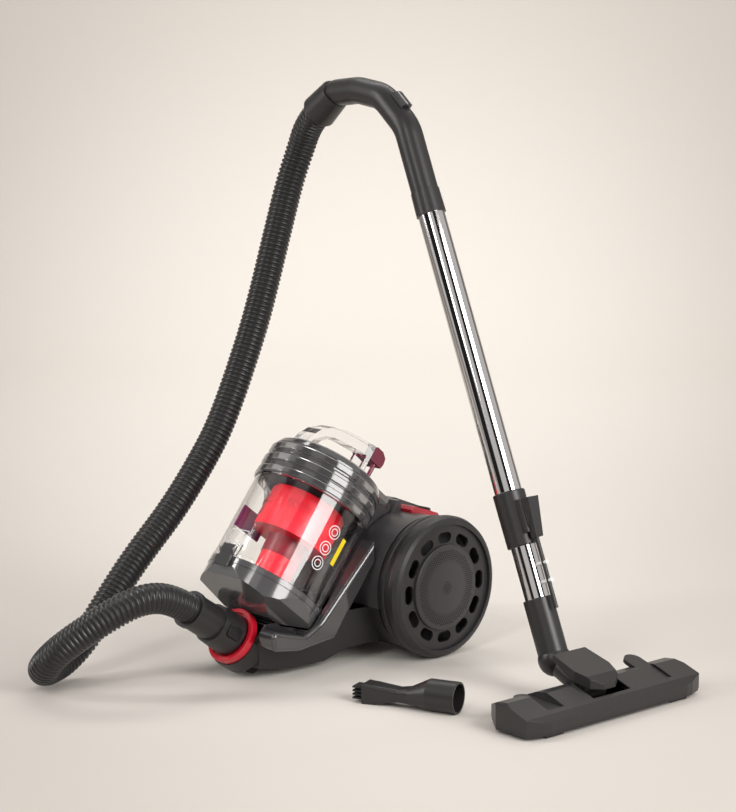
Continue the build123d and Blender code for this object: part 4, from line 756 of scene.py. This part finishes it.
# ---- the add-on ----------------------------------------------------------------------------
class VacuumHoseSettings(bpy.types.PropertyGroup):
    pitch: bpy.props.FloatProperty(name="Rib pitch", description="Distance between hose ribs",
                                   default=0.0062, unit="LENGTH")
    depth: bpy.props.FloatProperty(name="Rib depth", description="Depth of the groove between ribs",
                                   default=0.0022, unit="LENGTH")


class VacuumDetailSettings(bpy.types.PropertyGroup):
    grille_pitch: bpy.props.FloatProperty(name="Grille pitch", description="Distance between grille holes",
                                          default=0.0034, unit="LENGTH")
    window_pitch: bpy.props.FloatProperty(name="Mesh pitch", description="Distance between mesh holes",
                                          default=0.0027, unit="LENGTH")


class VacuumStageSettings(bpy.types.PropertyGroup):
    exposure: bpy.props.FloatProperty(name="Exposure", description="Brightness of the picture",
                                      default=0.0)
    sky: bpy.props.FloatProperty(name="Sky", description="Strength of the even light",
                                 default=0.72)


class VACUUM_OT_materials(bpy.types.Operator):
    """Make the finishes and paint the CAD parts"""
    bl_idname = "vacuum.materials"
    bl_label = "Paint CAD parts"

    def execute(self, context):
        MATERIALS.update(make_materials())
        paint_nodes()
        return {"FINISHED"}


class VACUUM_OT_hose(bpy.types.Operator):
    """Build the ribbed hose"""
    bl_idname = "vacuum.hose"
    bl_label = "Build hose"

    def execute(self, context):
        build_hose(context.scene.vacuum_hose)
        return {"FINISHED"}


class VACUUM_OT_grilles(bpy.types.Operator):
    """Build the perforated wheel grilles"""
    bl_idname = "vacuum.grilles"
    bl_label = "Build grilles"

    def execute(self, context):
        build_grilles(context.scene.vacuum_detail)
        return {"FINISHED"}


class VACUUM_OT_cyclone(bpy.types.Operator):
    """Build the red cyclone in the bin"""
    bl_idname = "vacuum.cyclone"
    bl_label = "Build cyclone"

    def execute(self, context):
        build_cyclone(context.scene.vacuum_detail)
        return {"FINISHED"}


class VACUUM_OT_lid(bpy.types.Operator):
    """Build the lid's raised bands"""
    bl_idname = "vacuum.lid"
    bl_label = "Build lid bands"

    def execute(self, context):
        build_lid(context.scene.vacuum_detail)
        return {"FINISHED"}


class VACUUM_OT_prints(bpy.types.Operator):
    """Print the marks on the clear bin"""
    bl_idname = "vacuum.prints"
    bl_label = "Build prints"

    def execute(self, context):
        build_prints(context.scene.vacuum_detail)
        return {"FINISHED"}


class VACUUM_OT_wand(bpy.types.Operator):
    """Build the holder rod, its lever and its clips"""
    bl_idname = "vacuum.wand"
    bl_label = "Build wand details"

    def execute(self, context):
        build_wand(context.scene.vacuum_detail)
        return {"FINISHED"}


class VACUUM_OT_stage(bpy.types.Operator):
    """Build the floor, the lights and the camera"""
    bl_idname = "vacuum.stage"
    bl_label = "Build stage"

    def execute(self, context):
        build_stage(context.scene.vacuum_stage)
        return {"FINISHED"}


OPERATORS = (VACUUM_OT_materials, VACUUM_OT_hose, VACUUM_OT_grilles, VACUUM_OT_cyclone,
             VACUUM_OT_lid, VACUUM_OT_prints, VACUUM_OT_wand, VACUUM_OT_stage)


class VACUUM_PT_panel(bpy.types.Panel):
    """The vacuum cleaner's pieces in the sidebar"""
    bl_idname = "VACUUM_PT_panel"
    bl_label = "Vacuum cleaner"
    bl_space_type = "VIEW_3D"
    bl_region_type = "UI"
    bl_category = "Vacuum"

    def draw(self, context):
        layout = self.layout
        layout.prop(context.scene.vacuum_hose, "pitch")
        layout.prop(context.scene.vacuum_hose, "depth")
        layout.prop(context.scene.vacuum_detail, "grille_pitch")
        layout.prop(context.scene.vacuum_detail, "window_pitch")
        layout.prop(context.scene.vacuum_stage, "exposure")
        layout.prop(context.scene.vacuum_stage, "sky")
        for operator in OPERATORS:
            layout.operator(operator.bl_idname)


CLASSES = (VacuumHoseSettings, VacuumDetailSettings, VacuumStageSettings, *OPERATORS, VACUUM_PT_panel)


def register():
    for cls in CLASSES:
        bpy.utils.register_class(cls)
    bpy.types.Scene.vacuum_hose = bpy.props.PointerProperty(type=VacuumHoseSettings)
    bpy.types.Scene.vacuum_detail = bpy.props.PointerProperty(type=VacuumDetailSettings)
    bpy.types.Scene.vacuum_stage = bpy.props.PointerProperty(type=VacuumStageSettings)


def unregister():
    del bpy.types.Scene.vacuum_hose
    del bpy.types.Scene.vacuum_detail
    del bpy.types.Scene.vacuum_stage
    for cls in reversed(CLASSES):
        bpy.utils.unregister_class(cls)


def main():
    register()
    bpy.ops.vacuum.materials()
    bpy.ops.vacuum.hose()
    bpy.ops.vacuum.grilles()
    bpy.ops.vacuum.cyclone()
    bpy.ops.vacuum.lid()
    bpy.ops.vacuum.prints()
    bpy.ops.vacuum.wand()
    bpy.ops.vacuum.stage()


if __name__ == "__main__":
    main()
